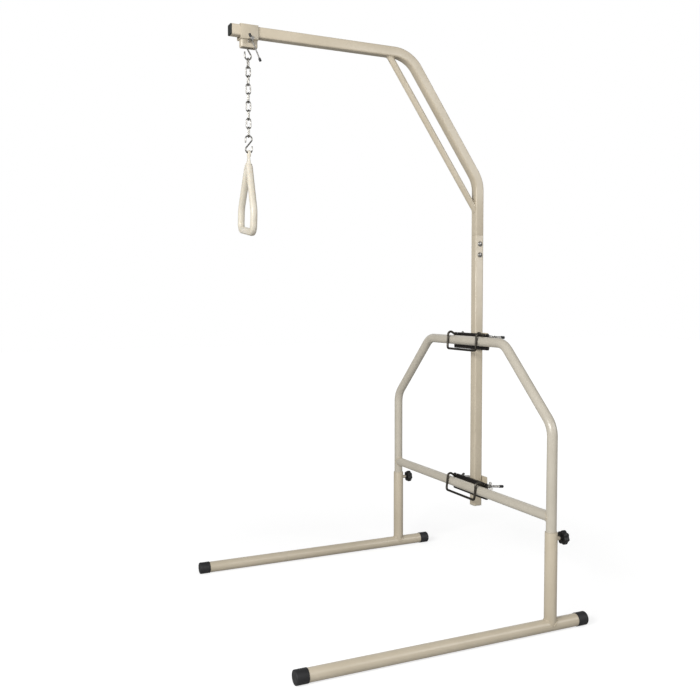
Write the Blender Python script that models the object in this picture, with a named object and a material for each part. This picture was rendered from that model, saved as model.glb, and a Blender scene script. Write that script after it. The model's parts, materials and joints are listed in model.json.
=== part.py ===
# Freestanding trapeze: metres, +Z up, the boom reaches towards -Y, the floor is at z = 0.
import bpy
import bmesh
from math import asin, cos, pi, radians, sin, tan
from mathutils import Matrix, Vector

for old in list(bpy.data.objects):
    bpy.data.objects.remove(old, do_unlink=True)

# Gaps
CLEAR = 0.0003
SLIDE = 0.0006

# Base: two round tubes on end caps, with an upright sleeve on each
SIDES = 16
LEG_X = 0.4835
BASE_R = 0.01905
BASE_WALL = 0.0025
BASE_FRONT = -0.8245
BASE_BACK = 0.1320
CAP_WALL = 0.00165
CAP_LENGTH = 0.0365
CAP_END = 0.003
SLEEVE_TOP = 0.3048

# Arch and crossbar
BAR_R = 0.015875
BAR_WALL = 0.002
LEG_BOTTOM = 0.065
ARCH_LOW_Z = 0.6224
ARCH_TOP_X = 0.2345
ARCH_TOP_Z = 0.8591
ARCH_BEND = 0.075
CROSS_Z = 0.3488

# Knob screws
KNOB_Z = 0.2825
SCREW_R = 0.004
WELD_NUT_R = 0.0062
WELD_NUT_END = 0.0300
KNOB_FACE = 0.0335
KNOB_HUB = 0.0035
KNOB_THICK = 0.0180
KNOB_R = 0.0203
KNOB_LOBE = 0.0016
KNOB_LOBES = 7

# Mast, boom and brace
MAST_X = 0.015
MAST_Y = 0.0419
TUBE = 0.03175
TUBE_WALL = 0.002
TUBE_CORNER = 0.005
MAST_BOTTOM = 0.2763
MAST_JOINT = 1.2218
MAST_BEND_Z = 1.4059
BOOM_BEND_Y = -0.2331
BOOM_Z = 1.8042
CHAIN_Y = -0.7820
BOOM_PAST = 0.0575
BOOM_END = CHAIN_Y - BOOM_PAST
BEND_R = 0.105
PLUG_HEAD = 0.0035
PLUG_ROUND = 0.0018
PLUG_DEPTH = 0.018
INSERT_BELOW = 0.0928
INSERT_ABOVE = 0.0782
JOINT_BOLTS_BELOW = (0.0295, 0.0670)
JOINT_BOLT_HEAD_R = 0.00875
JOINT_BOLT_HEAD = 0.0045
NUT_R = 0.0075
NUT_THICK = 0.0065
BRACE_R = 0.0104
BRACE_WALL = 0.0015
BRACE_OFF = 0.0641
VENT_R = 0.0022
VENT_AT = 0.011

# Mast clamps
JAW_HALF = 0.1060
JAW_THICK = 0.0055
JAW_LOW = 0.0300
JAW_HIGH = 0.0256
JAW_CORNER = 0.004
PLATE_IN = 0.0040
PLATE_THICK = 0.0037
REAR_HALF = 0.0427
REAR_LOW = 0.0195
REAR_HIGH = 0.0330
REAR_DROP = 0.0070
ROD_R = 0.004
ROD_X = JAW_HALF - 0.0165
ROD_UP = 0.0165
ROD_KNEE = 0.0126
ROD_KNEE_BEND = 0.010
ROD_TOP = 0.0358
ROD_TOP_BEND = 0.0107
ROD_DROP = 0.0318
ROD_CORNER = 0.009
ROD_END = 0.0920
TILT_UPPER = radians(3)
TILT_LOWER = radians(6)
TIP_REACH = 0.014
TIP_WALL = 0.0006
CLAMP_BOLT_X = 0.0290
CLAMP_BOLT_UP = 0.0060
CLAMP_BOLT_R = 0.003
CLAMP_BOLT_HEAD_R = 0.0058
CLAMP_BOLT_HEAD = 0.004
WING_AT = 0.0262
WING_HUB_R = 0.0068
WING_HUB = 0.0160
WING_START = 0.0080
WING_TIP = 0.0225
WING_SPAN = 0.0155
WING_THICK = 0.0030

# Trolley on the boom, with the T-screw that carries the chain
TROLLEY_LENGTH = 0.056
TROLLEY_WALL = 0.002
TROLLEY_DEEP = 0.0253
CUP_DEEP = 0.0478
CUP_HALF = 0.0125
CUP_FRONT = 0.0245
CUP_BACK = 0.0280
CUP_CORNER = 0.006
CUP_EDGE = 0.003
T_SCREW_DROP = 0.0300
T_HEAD_R = 0.0060
T_HEAD_IN = 0.0240
T_BAR_X = 0.0365
T_HEAD_OUT = 0.0465
BAR_TILT = radians(23.7)
T_BAR_R = 0.002
T_BAR_LENGTH = 0.085
T_CAP_R = 0.0038
T_CAP = 0.0100
SLOT_LENGTH = 0.034
SLOT_WIDE = 0.009

# Chain, S-hooks and handle
HOOK_WIRE = 0.00225
HOOK_LOOP = 0.0100
UPPER_HOOK = 0.0627
UPPER_TIPS = (0.003, 0.013)
LINK_WIRE = 0.002
LINK_LENGTH = 0.0299
LINK_LOOP = 0.0065
LINKS = 9
LOWER_HOOK = 0.0562
LOWER_TIPS = (0.011, 0.011)
TWIST = radians(-0.36)
HANDLE_TILT = radians(8)
HANDLE_DROP = 0.2433
HANDLE_POINT = 0.0228
HANDLE_SHOULDER = 0.0755
HANDLE_HALF = 0.0800
HANDLE_DEEP = 0.0110
HANDLE_THICK = 0.0104
HANDLE_CORNER = 0.022
HANDLE_SHOULDER_BEND = 0.060
HANDLE_TOP_CORNER = 0.0125
EYE_R = 0.0050
EYE_RIM = 0.0112
EYE_THICK = 0.0043

CAP_R = BASE_R + CLEAR + CAP_WALL
BASE_Z = CAP_R * cos(pi / SIDES)
SLEEVE_WALL = BASE_R - BAR_R - SLIDE
HOLE_R = SCREW_R + CLEAR
HALF = TUBE / 2
FRONT_FACE = MAST_Y - HALF
BACK_FACE = MAST_Y + HALF
ROD_OUT = BAR_R + CLEAR + ROD_R
T_SCREW_Z = BOOM_Z - T_SCREW_DROP


def linear(value):
    """One sRGB channel, 0 to 255, as linear light."""
    c = value / 255
    return c / 12.92 if c <= 0.04045 else ((c + 0.055) / 1.055) ** 2.4


def material(name, rgb, metallic, roughness):
    m = bpy.data.materials.new(name)
    m.use_nodes = True
    shader = m.node_tree.nodes["Principled BSDF"]
    shader.inputs["Base Color"].default_value = (*[linear(c) for c in rgb], 1)
    shader.inputs["Metallic"].default_value = metallic
    shader.inputs["Roughness"].default_value = roughness
    return m


PAINT = material("beige_paint", (201, 191, 172), 0.0, 0.4)
RUBBER = material("black_rubber", (44, 44, 46), 0.0, 0.7)
PLASTIC = material("black_plastic", (30, 30, 32), 0.0, 0.45)
JAW = material("jaw_plastic", (36, 36, 38), 0.0, 0.5)
ZINC = material("zinc_steel", (186, 188, 190), 1.0, 0.35)
ROD = material("dark_steel", (112, 112, 114), 1.0, 0.4)
CHAIN = material("chain_steel", (176, 178, 180), 1.0, 0.3)
IVORY = material("ivory_plastic", (226, 222, 206), 0.0, 0.35)
PALE = material("pale_plastic", (205, 198, 182), 0.0, 0.45)


def smooth(mesh, angle=35):
    mesh.shade_smooth()
    mesh.set_sharp_from_angle(angle=radians(angle))


def mesh_object(name, bm, mat):
    mesh = bpy.data.meshes.new(name)
    bm.to_mesh(mesh)
    bm.free()
    mesh.materials.append(mat)
    smooth(mesh)
    ob = bpy.data.objects.new(name, mesh)
    bpy.context.scene.collection.objects.link(ob)
    return ob


def skin(bm, rings, wrap=False, inward=False):
    """Faces over equal rings; wrap joins the last to the first, else both ends are closed."""
    loops = [[bm.verts.new(p) for p in ring] for ring in rings]
    pairs = list(zip(loops, loops[1:]))
    if wrap:
        pairs.append((loops[-1], loops[0]))
    made = []
    for a, b in pairs:
        for i in range(len(a)):
            j = (i + 1) % len(a)
            made.append(bm.faces.new((a[i], a[j], b[j], b[i])))
    if not wrap:
        made.append(bm.faces.new(list(reversed(loops[0]))))
        made.append(bm.faces.new(loops[-1]))
    bmesh.ops.recalc_face_normals(bm, faces=made)
    if inward:
        bmesh.ops.reverse_faces(bm, faces=made)


def loft(name, rings, mat, wrap=False):
    bm = bmesh.new()
    skin(bm, rings, wrap)
    return mesh_object(name, bm, mat)


def apply_boolean(ob, other, operation):
    mod = ob.modifiers.new("boolean", "BOOLEAN")
    mod.solver = "EXACT"
    mod.operation = operation
    mod.object = other
    graph = bpy.context.evaluated_depsgraph_get()
    mesh = bpy.data.meshes.new_from_object(ob.evaluated_get(graph))
    ob.modifiers.clear()
    ob.data = mesh
    bpy.data.objects.remove(other, do_unlink=True)
    smooth(mesh)


def cut(ob, cutter):
    cutter.hide_render = True
    cutter.display_type = "WIRE"
    apply_boolean(ob, cutter, "DIFFERENCE")


def fuse(ob, other):
    apply_boolean(ob, other, "UNION")


def move(ob, matrix):
    ob.data.transform(matrix)
    return ob


def circle(radius, sides=SIDES, turn=0.5):
    return [(radius * cos(2 * pi * (i + turn) / sides), radius * sin(2 * pi * (i + turn) / sides))
            for i in range(sides)]


def round_rect(half_a, half_b, corner, steps=2):
    pts = []
    for n, (sa, sb) in enumerate(((1, 1), (-1, 1), (-1, -1), (1, -1))):
        for k in range(steps + 1):
            a = pi / 2 * (n + k / steps)
            pts.append((sa * (half_a - corner) + corner * cos(a), sb * (half_b - corner) + corner * sin(a)))
    return pts


def oval(half_a, half_b, power, count=16):
    pts = []
    for i in range(count):
        a = 2 * pi * (i + 0.5) / count
        c, s = cos(a), sin(a)
        pts.append((half_a * abs(c) ** (2 / power) * (1 if c > 0 else -1),
                    half_b * abs(s) ** (2 / power) * (1 if s > 0 else -1)))
    return pts


def line(*points):
    pts = [Vector(p) for p in points]
    return [(p, (pts[-1] - pts[0]).normalized()) for p in pts]


def arc(corner, before, after, radius, steps):
    """Points and directions of the arc that rounds one corner of a path."""
    d1 = (corner - before).normalized()
    d2 = (after - corner).normalized()
    turn = d1.angle(d2)
    inward = (d2 - d1 * d1.dot(d2)).normalized()
    centre = corner - d1 * radius * tan(turn / 2) + inward * radius
    out = []
    for k in range(steps + 1):
        a = turn * k / steps
        out.append((centre - inward * radius * cos(a) + d1 * radius * sin(a), d1 * cos(a) + inward * sin(a)))
    return out


def bent(points, radii, steps=8):
    """An open path through the points, each inner corner rounded."""
    pts = [Vector(p) for p in points]
    path = [(pts[0], (pts[1] - pts[0]).normalized())]
    for i in range(1, len(pts) - 1):
        path += arc(pts[i], pts[i - 1], pts[i + 1], radii[i - 1], steps)
    path.append((pts[-1], (pts[-1] - pts[-2]).normalized()))
    return path


def closed(points, radii, steps):
    pts = [Vector(p) for p in points]
    path = []
    for i, p in enumerate(pts):
        path += arc(p, pts[i - 1], pts[(i + 1) % len(pts)], radii[i], steps[i])
    return path


def rings(path, sections, side):
    """Rings square to the path; side is carried along it without twist."""
    out = []
    last = None
    s = Vector(side)
    for n, (p, t) in enumerate(path):
        if last is not None:
            s = last.rotation_difference(t) @ s
        last = t
        w = t.cross(s)
        section = sections[n] if isinstance(sections[0], list) else sections
        out.append([p + s * a + w * b for a, b in section])
    return out


def pipe(name, path, outer, inner, side, mat):
    return loft(name, rings(path, outer, side) + rings(path, inner, side)[::-1], mat, wrap=True)


def lathe(name, rows, axis, at, mat, sides=SIDES, wrap=False):
    """Rows of (distance along the axis, radius); wrap makes a ring with a bore."""
    t = Vector(axis)
    s = t.orthogonal().normalized()
    w = t.cross(s)
    at = Vector(at)
    out = [[at + t * d + s * a + w * b for a, b in circle(r, sides)] for d, r in rows]
    return loft(name, out, mat, wrap)


def box(name, low, high, mat, bevel=0.0):
    bm = bmesh.new()
    bmesh.ops.create_cube(bm, size=1)
    size = [h - l for l, h in zip(low, high)]
    mid = [(h + l) / 2 for l, h in zip(low, high)]
    bmesh.ops.scale(bm, vec=size, verts=bm.verts)
    bmesh.ops.translate(bm, vec=mid, verts=bm.verts)
    if bevel:
        bmesh.ops.bevel(bm, geom=list(bm.edges), offset=bevel, segments=1, affect="EDGES")
    return mesh_object(name, bm, mat)


def hex_nut(at, axis, start, thick, radius, point, mat):
    """A hexagon between two distances along the axis, one corner towards the given direction."""
    at, w = Vector(at), axis.cross(point)
    return loft("hexagon", [[at + axis * d + point * a + w * b for a, b in circle(radius, 6, 0)]
                            for d in (start, start + thick)], mat)


PIVOTS = {}


def pivot(ob, at):
    PIVOTS[ob.name] = Vector(at)
    return ob


X, Y, Z = Vector((1, 0, 0)), Vector((0, 1, 0)), Vector((0, 0, 1))
SIDE_NAMES = ((1, "near"), (-1, "far"))

# Base tubes with their end caps
for sign, which in SIDE_NAMES:
    x = sign * LEG_X
    front = BASE_FRONT + CAP_END + CLEAR
    back = BASE_BACK - CAP_END - CLEAR
    pipe("base_tube_" + which, line((x, front, BASE_Z), (x, back, BASE_Z)), circle(BASE_R),
         circle(BASE_R - BASE_WALL), X, PAINT)
    for end, inward, label in ((BASE_FRONT, 1, "front"), (BASE_BACK, -1, "back")):
        hollow = BASE_R + CLEAR
        rows = [(0, CAP_R - 0.0030), (0.0008, CAP_R - 0.0010), (0.0030, CAP_R), (CAP_LENGTH, CAP_R),
                (CAP_LENGTH, hollow), (CAP_END, hollow)]
        lathe("base_cap_%s_%s" % (label, which), rows, (0, inward, 0), (x, end, BASE_Z), RUBBER)

# Sleeves, saddled on the base tubes, with the weld nuts and knob screws behind them
for sign, which in SIDE_NAMES:
    x = sign * LEG_X
    sleeve = pipe("sleeve_" + which, line((x, 0, BASE_Z), (x, 0, SLEEVE_TOP)), circle(BASE_R),
                  circle(BASE_R - SLEEVE_WALL), X, PAINT)
    cut(sleeve, lathe("c", [(-0.05, BASE_R + CLEAR), (0.05, BASE_R + CLEAR)], Y, (x, 0, BASE_Z), PAINT))
    at = (x, 0, KNOB_Z)
    fuse(sleeve, lathe("nut", [(BASE_R - 0.0012, WELD_NUT_R), (WELD_NUT_END, WELD_NUT_R)], Y, at, PAINT))
    cut(sleeve, lathe("c", [(0.005, HOLE_R), (0.04, HOLE_R)], Y, at, PAINT, 16))
    screw_end = KNOB_FACE + KNOB_HUB + KNOB_THICK / 2
    pivot(lathe("knob_screw_" + which, [(BAR_R + CLEAR, SCREW_R - 0.0008), (BAR_R + CLEAR + 0.0008, SCREW_R),
                                        (screw_end, SCREW_R)], Y, at, ZINC, 16), at)
    count = 5 * KNOB_LOBES

    def star(y, grow, round_r=None):
        pts = []
        for i in range(count):
            a = 2 * pi * i / count
            r = round_r if round_r else KNOB_R + grow + KNOB_LOBE * cos(KNOB_LOBES * a)
            pts.append(Vector((x + r * sin(a), y, KNOB_Z + r * cos(a))))
        return pts

    y1 = KNOB_FACE + KNOB_HUB
    y2 = y1 + KNOB_THICK
    knob = [star(screw_end + CLEAR, 0, HOLE_R), star(KNOB_FACE, 0, HOLE_R), star(KNOB_FACE, 0, 0.0090),
            star(y1, 0, 0.0105), star(y1, -0.0035), star(y1 + 0.0035, 0), star(y2 - 0.0045, 0),
            star(y2 - 0.0012, -0.0022), star(y2, -0.006)]
    pivot(loft("knob_" + which, knob, PLASTIC), at)

# Arch and its crossbar
arch_points = [(LEG_X, 0, LEG_BOTTOM), (LEG_X, 0, ARCH_LOW_Z), (ARCH_TOP_X, 0, ARCH_TOP_Z),
               (-ARCH_TOP_X, 0, ARCH_TOP_Z), (-LEG_X, 0, ARCH_LOW_Z), (-LEG_X, 0, LEG_BOTTOM)]
arch_origin = (0, 0, CROSS_Z)
pivot(pipe("arch_tube", bent(arch_points, [ARCH_BEND] * 4, 5), circle(BAR_R), circle(BAR_R - BAR_WALL), Y,
           PAINT), arch_origin)
bar = pipe("crossbar", line((-LEG_X, 0, CROSS_Z), (LEG_X, 0, CROSS_Z)), circle(BAR_R),
           circle(BAR_R - BAR_WALL), Y, PAINT)
for sign, which in SIDE_NAMES:
    at = (sign * LEG_X, 0, CROSS_Z)
    cut(bar, lathe("c", [(-0.03, BAR_R + CLEAR), (0.03, BAR_R + CLEAR)], Z, at, PAINT))
pivot(bar, arch_origin)

# Mast in two lengths over an insert, and the boom in one piece with the upper length
mast_origin = (MAST_X, 0, ARCH_TOP_Z)
square = round_rect(HALF, HALF, TUBE_CORNER)
bore = round_rect(HALF - TUBE_WALL, HALF - TUBE_WALL, TUBE_CORNER - TUBE_WALL)
insert_half = HALF - TUBE_WALL - CLEAR
insert_out = round_rect(insert_half, insert_half, TUBE_CORNER - TUBE_WALL)
insert_in = round_rect(insert_half - TUBE_WALL, insert_half - TUBE_WALL, 0.0015)
lower = pipe("mast_lower", line((MAST_X, MAST_Y, MAST_BOTTOM + PLUG_HEAD + CLEAR),
                                (MAST_X, MAST_Y, MAST_JOINT)), square, bore, X, PAINT)
insert_path = line((MAST_X, MAST_Y, MAST_JOINT - INSERT_BELOW), (MAST_X, MAST_Y, MAST_JOINT + INSERT_ABOVE))
insert = pipe("mast_insert", insert_path, insert_out, insert_in, X, ZINC)
for below in JOINT_BOLTS_BELOW:
    for ob in (lower, insert):
        at = (MAST_X, MAST_Y, MAST_JOINT - below)
        cut(ob, lathe("c", [(-0.03, HOLE_R), (0.03, HOLE_R)], X, at, PAINT, 16))
upper_points = [(MAST_X, MAST_Y, MAST_JOINT + CLEAR), (MAST_X, MAST_Y, MAST_BEND_Z),
                (MAST_X, BOOM_BEND_Y, BOOM_Z), (MAST_X, BOOM_END + PLUG_HEAD + CLEAR, BOOM_Z)]
upper = pipe("mast_upper", bent(upper_points, [BEND_R, BEND_R], 7), square, bore, X, PAINT)
for n, below in enumerate(JOINT_BOLTS_BELOW, 1):
    at = (MAST_X, MAST_Y, MAST_JOINT - below)
    r, h = JOINT_BOLT_HEAD_R, JOINT_BOLT_HEAD
    seat = HALF + CLEAR
    tail = seat + NUT_THICK + 0.002
    rows = [(-tail, SCREW_R - 0.0006), (-tail + 0.0006, SCREW_R), (seat, SCREW_R), (seat, r),
            (seat + 0.2 * h, r), (seat + 0.6 * h, 0.85 * r), (seat + 0.88 * h, 0.55 * r), (seat + h, 0.2 * r)]
    bolt = lathe("mast_joint_bolt_%d" % n, rows, X, at, ZINC, 16)
    fuse(bolt, hex_nut(at, -X, seat, NUT_THICK, NUT_R, Y, ZINC))


def plug(name, at, outward, mat):
    """A square push-in plug: a rounded head flush with the tube and a shank inside it."""
    t = Vector(outward)
    w = t.cross(X)
    at = Vector(at)
    shank = HALF - TUBE_WALL - CLEAR
    head, turn = PLUG_HEAD, PLUG_ROUND
    rows = [(-PLUG_DEPTH, shank - 0.001, 0.002), (0, shank, 0.003), (0, HALF, TUBE_CORNER),
            (head - turn, HALF, TUBE_CORNER), (head - turn / 3, HALF - turn / 3, TUBE_CORNER),
            (head, HALF - turn, TUBE_CORNER - turn / 3)]
    out = [[at + t * d + X * a + w * b for a, b in round_rect(h, h, c)] for d, h, c in rows]
    return loft(name, out, mat)


plug("mast_end_plug", (MAST_X, MAST_Y, MAST_BOTTOM + PLUG_HEAD), -Z, PALE)
plug("boom_end_plug", (MAST_X, BOOM_END + PLUG_HEAD, BOOM_Z), -Y, PLASTIC)

# Brace: a straight round tube, mitred to the boom's underside and the mast's front
run = Vector((0, BOOM_BEND_Y - MAST_Y, BOOM_Z - MAST_BEND_Z)).normalized()
below = Vector((0, -run.z, run.y))
brace_at = Vector((MAST_X, MAST_Y, MAST_BEND_Z)) + below * BRACE_OFF
mitres = ((Vector((0, FRONT_FACE - CLEAR, 0)), Y), (Vector((0, 0, BOOM_Z - HALF - CLEAR)), Z))


def mitred(radius, plane):
    """The ring that a round wall parallel to the brace makes on a flat face."""
    at, square_to = plane
    ring = [brace_at + X * a + below * b for a, b in circle(radius)]
    return [p + run * ((at - p).dot(square_to) / run.dot(square_to)) for p in ring]


bore_r = BRACE_R - BRACE_WALL
brace = loft("brace", [mitred(BRACE_R, mitres[0]), mitred(BRACE_R, mitres[1]), mitred(bore_r, mitres[1]),
                       mitred(bore_r, mitres[0])], PAINT, wrap=True)
crown = brace_at + run * ((BOOM_Z - HALF - brace_at.z) / run.z)
cut(brace, lathe("c", [(0, VENT_R), (0.02, VENT_R)], below, crown - run * VENT_AT, PAINT, 12))


# Mast clamps
def slab(name, half, low, high, y0, y1, corner, edge, mat):
    """A plate that faces the bar, with rounded corners and lightly broken edges."""
    mid = (low + high) / 2
    out = []
    for y, inset in ((y0, edge), (y0 + edge, 0), (y1 - edge, 0), (y1, edge)):
        outline = round_rect(half - inset, (high - low) / 2 - inset, corner)
        out.append([Vector((MAST_X + a, y, mid + b)) for a, b in outline])
    return loft(name, out, mat)


def notched(ob, frame):
    for sign, which in SIDE_NAMES:
        x = MAST_X + sign * ROD_X
        r = ROD_R + CLEAR + 0.0003
        outline = [(x + r * cos(pi + pi * k / 6), ROD_UP + r * sin(pi + pi * k / 6)) for k in range(7)]
        outline += [(x + r, 0.06), (x - r, 0.06)]
        cutter = loft("c", [[Vector((a, d, b)) for a, b in outline] for d in (0.005, 0.040)], JAW)
        cut(ob, move(cutter, frame))


def wing_nut(name):
    """Bore along +Y from the seat at y = 0, wings along Z."""
    hub = [(0, WING_HUB_R), (WING_HUB * 0.6, WING_HUB_R - 0.0006), (WING_HUB - 0.001, WING_HUB_R - 0.0014),
           (WING_HUB, WING_HUB_R - 0.0022)]
    nut = lathe(name, hub, Y, (0, 0, 0), ZINC, 14)
    for s in (1, -1):
        r = 0.0055
        mid_y, mid_z = WING_TIP - r, WING_SPAN - r
        outline = [(WING_START, 0), (WING_START, WING_HUB_R * 0.8)]
        turns = [radians(d) for d in (165, 115, 65, 15, -35)]
        outline += [(mid_y + r * cos(a), mid_z + r * sin(a)) for a in turns]
        outline += [(WING_HUB - 0.0010, 0)]
        wing = loft("w", [[Vector((d, a, s * b)) for a, b in outline] for d in
                          (-WING_THICK / 2, WING_THICK / 2)], ZINC)
        fuse(nut, wing)
    cut(nut, lathe("c", [(-0.01, HOLE_R), (0.03, HOLE_R)], Y, (0, 0, 0), ZINC, 14))
    return nut


clamps = (("upper", ARCH_TOP_Z, TILT_UPPER, REAR_DROP, (75, -20)),
          ("lower", CROSS_Z, TILT_LOWER, 0, (-26, 25)))
for label, bar_z, tilt, drop, turns in clamps:
    frame = Matrix.Translation((0, 0, bar_z)) @ Matrix.Rotation(-tilt, 4, "X")
    y0 = BAR_R + CLEAR
    jaw = slab("jaw_" + label, JAW_HALF, bar_z - JAW_LOW, bar_z + JAW_HIGH, y0, y0 + JAW_THICK,
               JAW_CORNER, 0.001, JAW)
    y1 = FRONT_FACE - CLEAR
    plate = slab("clamp_plate_" + label, JAW_HALF - PLATE_IN, bar_z - JAW_LOW + PLATE_IN,
                 bar_z + JAW_HIGH - PLATE_IN, y1 - PLATE_THICK, y1, JAW_CORNER, 0.0005, PAINT)
    notched(jaw, frame)
    notched(plate, frame)
    y2 = BACK_FACE + CLEAR
    rear = box("rear_plate_" + label, (MAST_X - REAR_HALF, y2, bar_z - REAR_LOW - drop),
               (MAST_X + REAR_HALF, y2 + PLATE_THICK, bar_z + REAR_HIGH - drop), PAINT, 0.0005)
    for sign, which in SIDE_NAMES:
        at = (MAST_X + sign * CLAMP_BOLT_X, 0, bar_z + CLAMP_BOLT_UP)
        hole = CLAMP_BOLT_R + CLEAR
        for ob in (plate, rear):
            cut(ob, lathe("c", [(0.018, hole), (0.08, hole)], Y, at, PAINT, 12))
        head = y2 + PLATE_THICK + CLEAR
        shank = [(y1 - PLATE_THICK + 0.0002, CLAMP_BOLT_R), (head + 0.001, CLAMP_BOLT_R)]
        bolt = lathe("clamp_bolt_%s_%s" % (label, which), shank, Y, at, ZINC, 12)
        fuse(bolt, hex_nut(at, Y, head, CLAMP_BOLT_HEAD, CLAMP_BOLT_HEAD_R, Z, ZINC))
    xs = (MAST_X - ROD_X, MAST_X + ROD_X)
    side_path = [(ROD_END, ROD_UP), (ROD_KNEE, ROD_UP), (-ROD_OUT, ROD_TOP), (-ROD_OUT, -ROD_DROP)]
    rod_points = [(xs[0], y, z) for y, z in side_path] + [(xs[1], y, z) for y, z in side_path[::-1]]
    bends = [ROD_KNEE_BEND, ROD_TOP_BEND, ROD_CORNER]
    rod_path = bent(rod_points, bends + bends[::-1], 4)
    rod_origin = frame @ Vector((MAST_X, 0, ROD_UP))
    rod = loft("clamp_rod_" + label, rings(rod_path, circle(ROD_R, 10), X), ROD)
    pivot(move(rod, frame), rod_origin)
    for x, which in zip(xs, ("far", "near")):
        snug = ROD_R + CLEAR
        rows = [(ROD_END + CLEAR, snug), (ROD_END - TIP_REACH, snug), (ROD_END - TIP_REACH, snug + TIP_WALL),
                (ROD_END, snug + TIP_WALL), (ROD_END + 0.0014, snug)]
        cap = lathe("rod_cap_%s_%s" % (label, which), rows, Y, (x, 0, ROD_UP), RUBBER, 12)
        pivot(move(cap, frame), rod_origin)
    for (sign, which), turn in zip(SIDE_NAMES, turns):
        x = MAST_X + sign * ROD_X
        seat = frame @ Matrix.Translation((x, WING_AT, ROD_UP))
        nut = wing_nut("wing_nut_%s_%s" % (label, which))
        pivot(move(nut, seat @ Matrix.Rotation(radians(turn), 4, "Y")), seat.translation)

# Trolley: a square sleeve on the boom with a narrower cup under it
inside = HALF + SLIDE
outside = inside + TROLLEY_WALL
low = BOOM_Z - TROLLEY_DEEP
high = BOOM_Z + outside
cup_low = BOOM_Z - CUP_DEEP


def loop_section(side, bottom, top, corner):
    pts = round_rect(side, (top - bottom) / 2, corner)
    return [(a, b + (top + bottom) / 2) for a, b in pts]


cup_y = CHAIN_Y + (CUP_BACK - CUP_FRONT) / 2


def cup_ring(z, inset, corner):
    outline = round_rect(CUP_HALF - inset, (CUP_FRONT + CUP_BACK) / 2 - inset, corner)
    return [Vector((MAST_X + a, cup_y + b, z)) for a, b in outline]


trolley_origin = (MAST_X, CHAIN_Y, BOOM_Z)
outer = loop_section(outside, low, high, 0.003)
inner = loop_section(inside, low + TROLLEY_WALL, high - TROLLEY_WALL, 0.001)
ends = (CHAIN_Y - TROLLEY_LENGTH / 2, CHAIN_Y + TROLLEY_LENGTH / 2)
around = [[Vector((MAST_X + a, y, b)) for a, b in outer] for y in ends]
within = [[Vector((MAST_X + a, y, b)) for a, b in inner] for y in ends[::-1]]
trolley = loft("trolley_bracket", around + within, PAINT, wrap=True)
edge = CUP_EDGE
cup = [cup_ring(cup_low, edge, CUP_CORNER - edge),
       cup_ring(cup_low + edge / 3, edge / 3, CUP_CORNER - edge / 3),
       cup_ring(cup_low + edge, 0, CUP_CORNER), cup_ring(low + TROLLEY_WALL / 2, 0, CUP_CORNER)]
fuse(trolley, loft("cup", cup, PAINT))
screw_at = Vector((MAST_X, CHAIN_Y, T_SCREW_Z))
boss_end = CUP_HALF + NUT_THICK
fuse(trolley, lathe("nut", [(CUP_HALF - 0.0010, WELD_NUT_R), (boss_end, WELD_NUT_R)], -X, screw_at, PAINT))
cut(trolley, loft("c", [cup_ring(z, TROLLEY_WALL, CUP_CORNER - TROLLEY_WALL)
                        for z in (cup_low + TROLLEY_WALL, low + 2 * TROLLEY_WALL)], PAINT))
cut(trolley, lathe("c", [(-0.04, HOLE_R), (0.04, HOLE_R)], X, screw_at, PAINT, 16))
half_slot = SLOT_LENGTH / 2 - SLOT_WIDE / 2
slot = [(SLOT_WIDE / 2 * cos(pi * k / 6), half_slot + SLOT_WIDE / 2 * sin(pi * k / 6)) for k in range(7)]
slot += [(-a, -b) for a, b in slot]
cutter = [[Vector((MAST_X + a, cup_y + b, z)) for a, b in slot] for z in (cup_low - 0.01, cup_low + 0.01)]
cut(trolley, loft("c", cutter, PAINT))
pivot(trolley, trolley_origin)

# T-screw across the trolley and the sliding bar in its head
rows = [(-boss_end - 0.003, SCREW_R), (T_HEAD_IN - 0.0025, SCREW_R), (T_HEAD_IN - 0.0025, T_HEAD_R - 0.001),
        (T_HEAD_IN, T_HEAD_R), (T_HEAD_OUT - 0.001, T_HEAD_R), (T_HEAD_OUT, T_HEAD_R - 0.001)]
t_screw = lathe("t_screw", rows, X, screw_at, ZINC, 20)
bar_up = Vector((0, -sin(BAR_TILT), cos(BAR_TILT)))
bar_at = screw_at + X * T_BAR_X
cut(t_screw, lathe("c", [(-0.02, T_BAR_R + CLEAR), (0.02, T_BAR_R + CLEAR)], bar_up, bar_at, ZINC, 16))
pivot(t_screw, screw_at)
top = T_HEAD_R + CLEAR + T_CAP
bottom = top - T_BAR_LENGTH
pivot(lathe("t_bar", [(bottom + 0.0012, T_BAR_R), (top - 0.0012, T_BAR_R)], bar_up, bar_at, ZINC, 16), bar_at)
for end, sign, label in ((top, -1, "upper"), (bottom, 1, "lower")):
    hollow = T_BAR_R + CLEAR
    rows = [(0, T_CAP_R - 0.0008), (0.0008, T_CAP_R), (T_CAP, T_CAP_R), (T_CAP, hollow), (0.0010, hollow)]
    pivot(lathe("t_bar_cap_" + label, rows, bar_up * sign, bar_at + bar_up * end, RUBBER, 16), bar_at)


# Chain: every element hangs in the bend of the one above and is turned a little further
def element_frame(index, flat):
    """Local X in the element's plane, local Z up, through the line of the chain."""
    turn = TWIST * index + (0 if flat else pi / 2)
    return Matrix.Translation((MAST_X, CHAIN_Y, 0)) @ Matrix.Rotation(turn, 4, "Z")


def hook_path(low, high, tips, mirror):
    """Upper loop open at +X and lower loop open at -X, each end drawn out straight by its tip."""
    r = HOOK_LOOP
    c1 = high - HOOK_WIRE - r
    c2 = low + HOOK_WIRE + r
    lean = asin(2 * r / (c1 - c2))
    path = [(r, c1 - tips[0], 0, 1)]
    for k in range(9):
        a = (pi + lean) * k / 8
        path.append((r * cos(a), c1 + r * sin(a), -sin(a), cos(a)))
    for k in range(9):
        a = lean - (pi + lean) * k / 8
        path.append((r * cos(a), c2 + r * sin(a), sin(a), -cos(a)))
    path.append((-r, c2 + tips[1], 0, 1))
    return [(Vector((mirror * px, 0, pz)), Vector((mirror * tx, 0, tz))) for px, pz, tx, tz in path]


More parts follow.
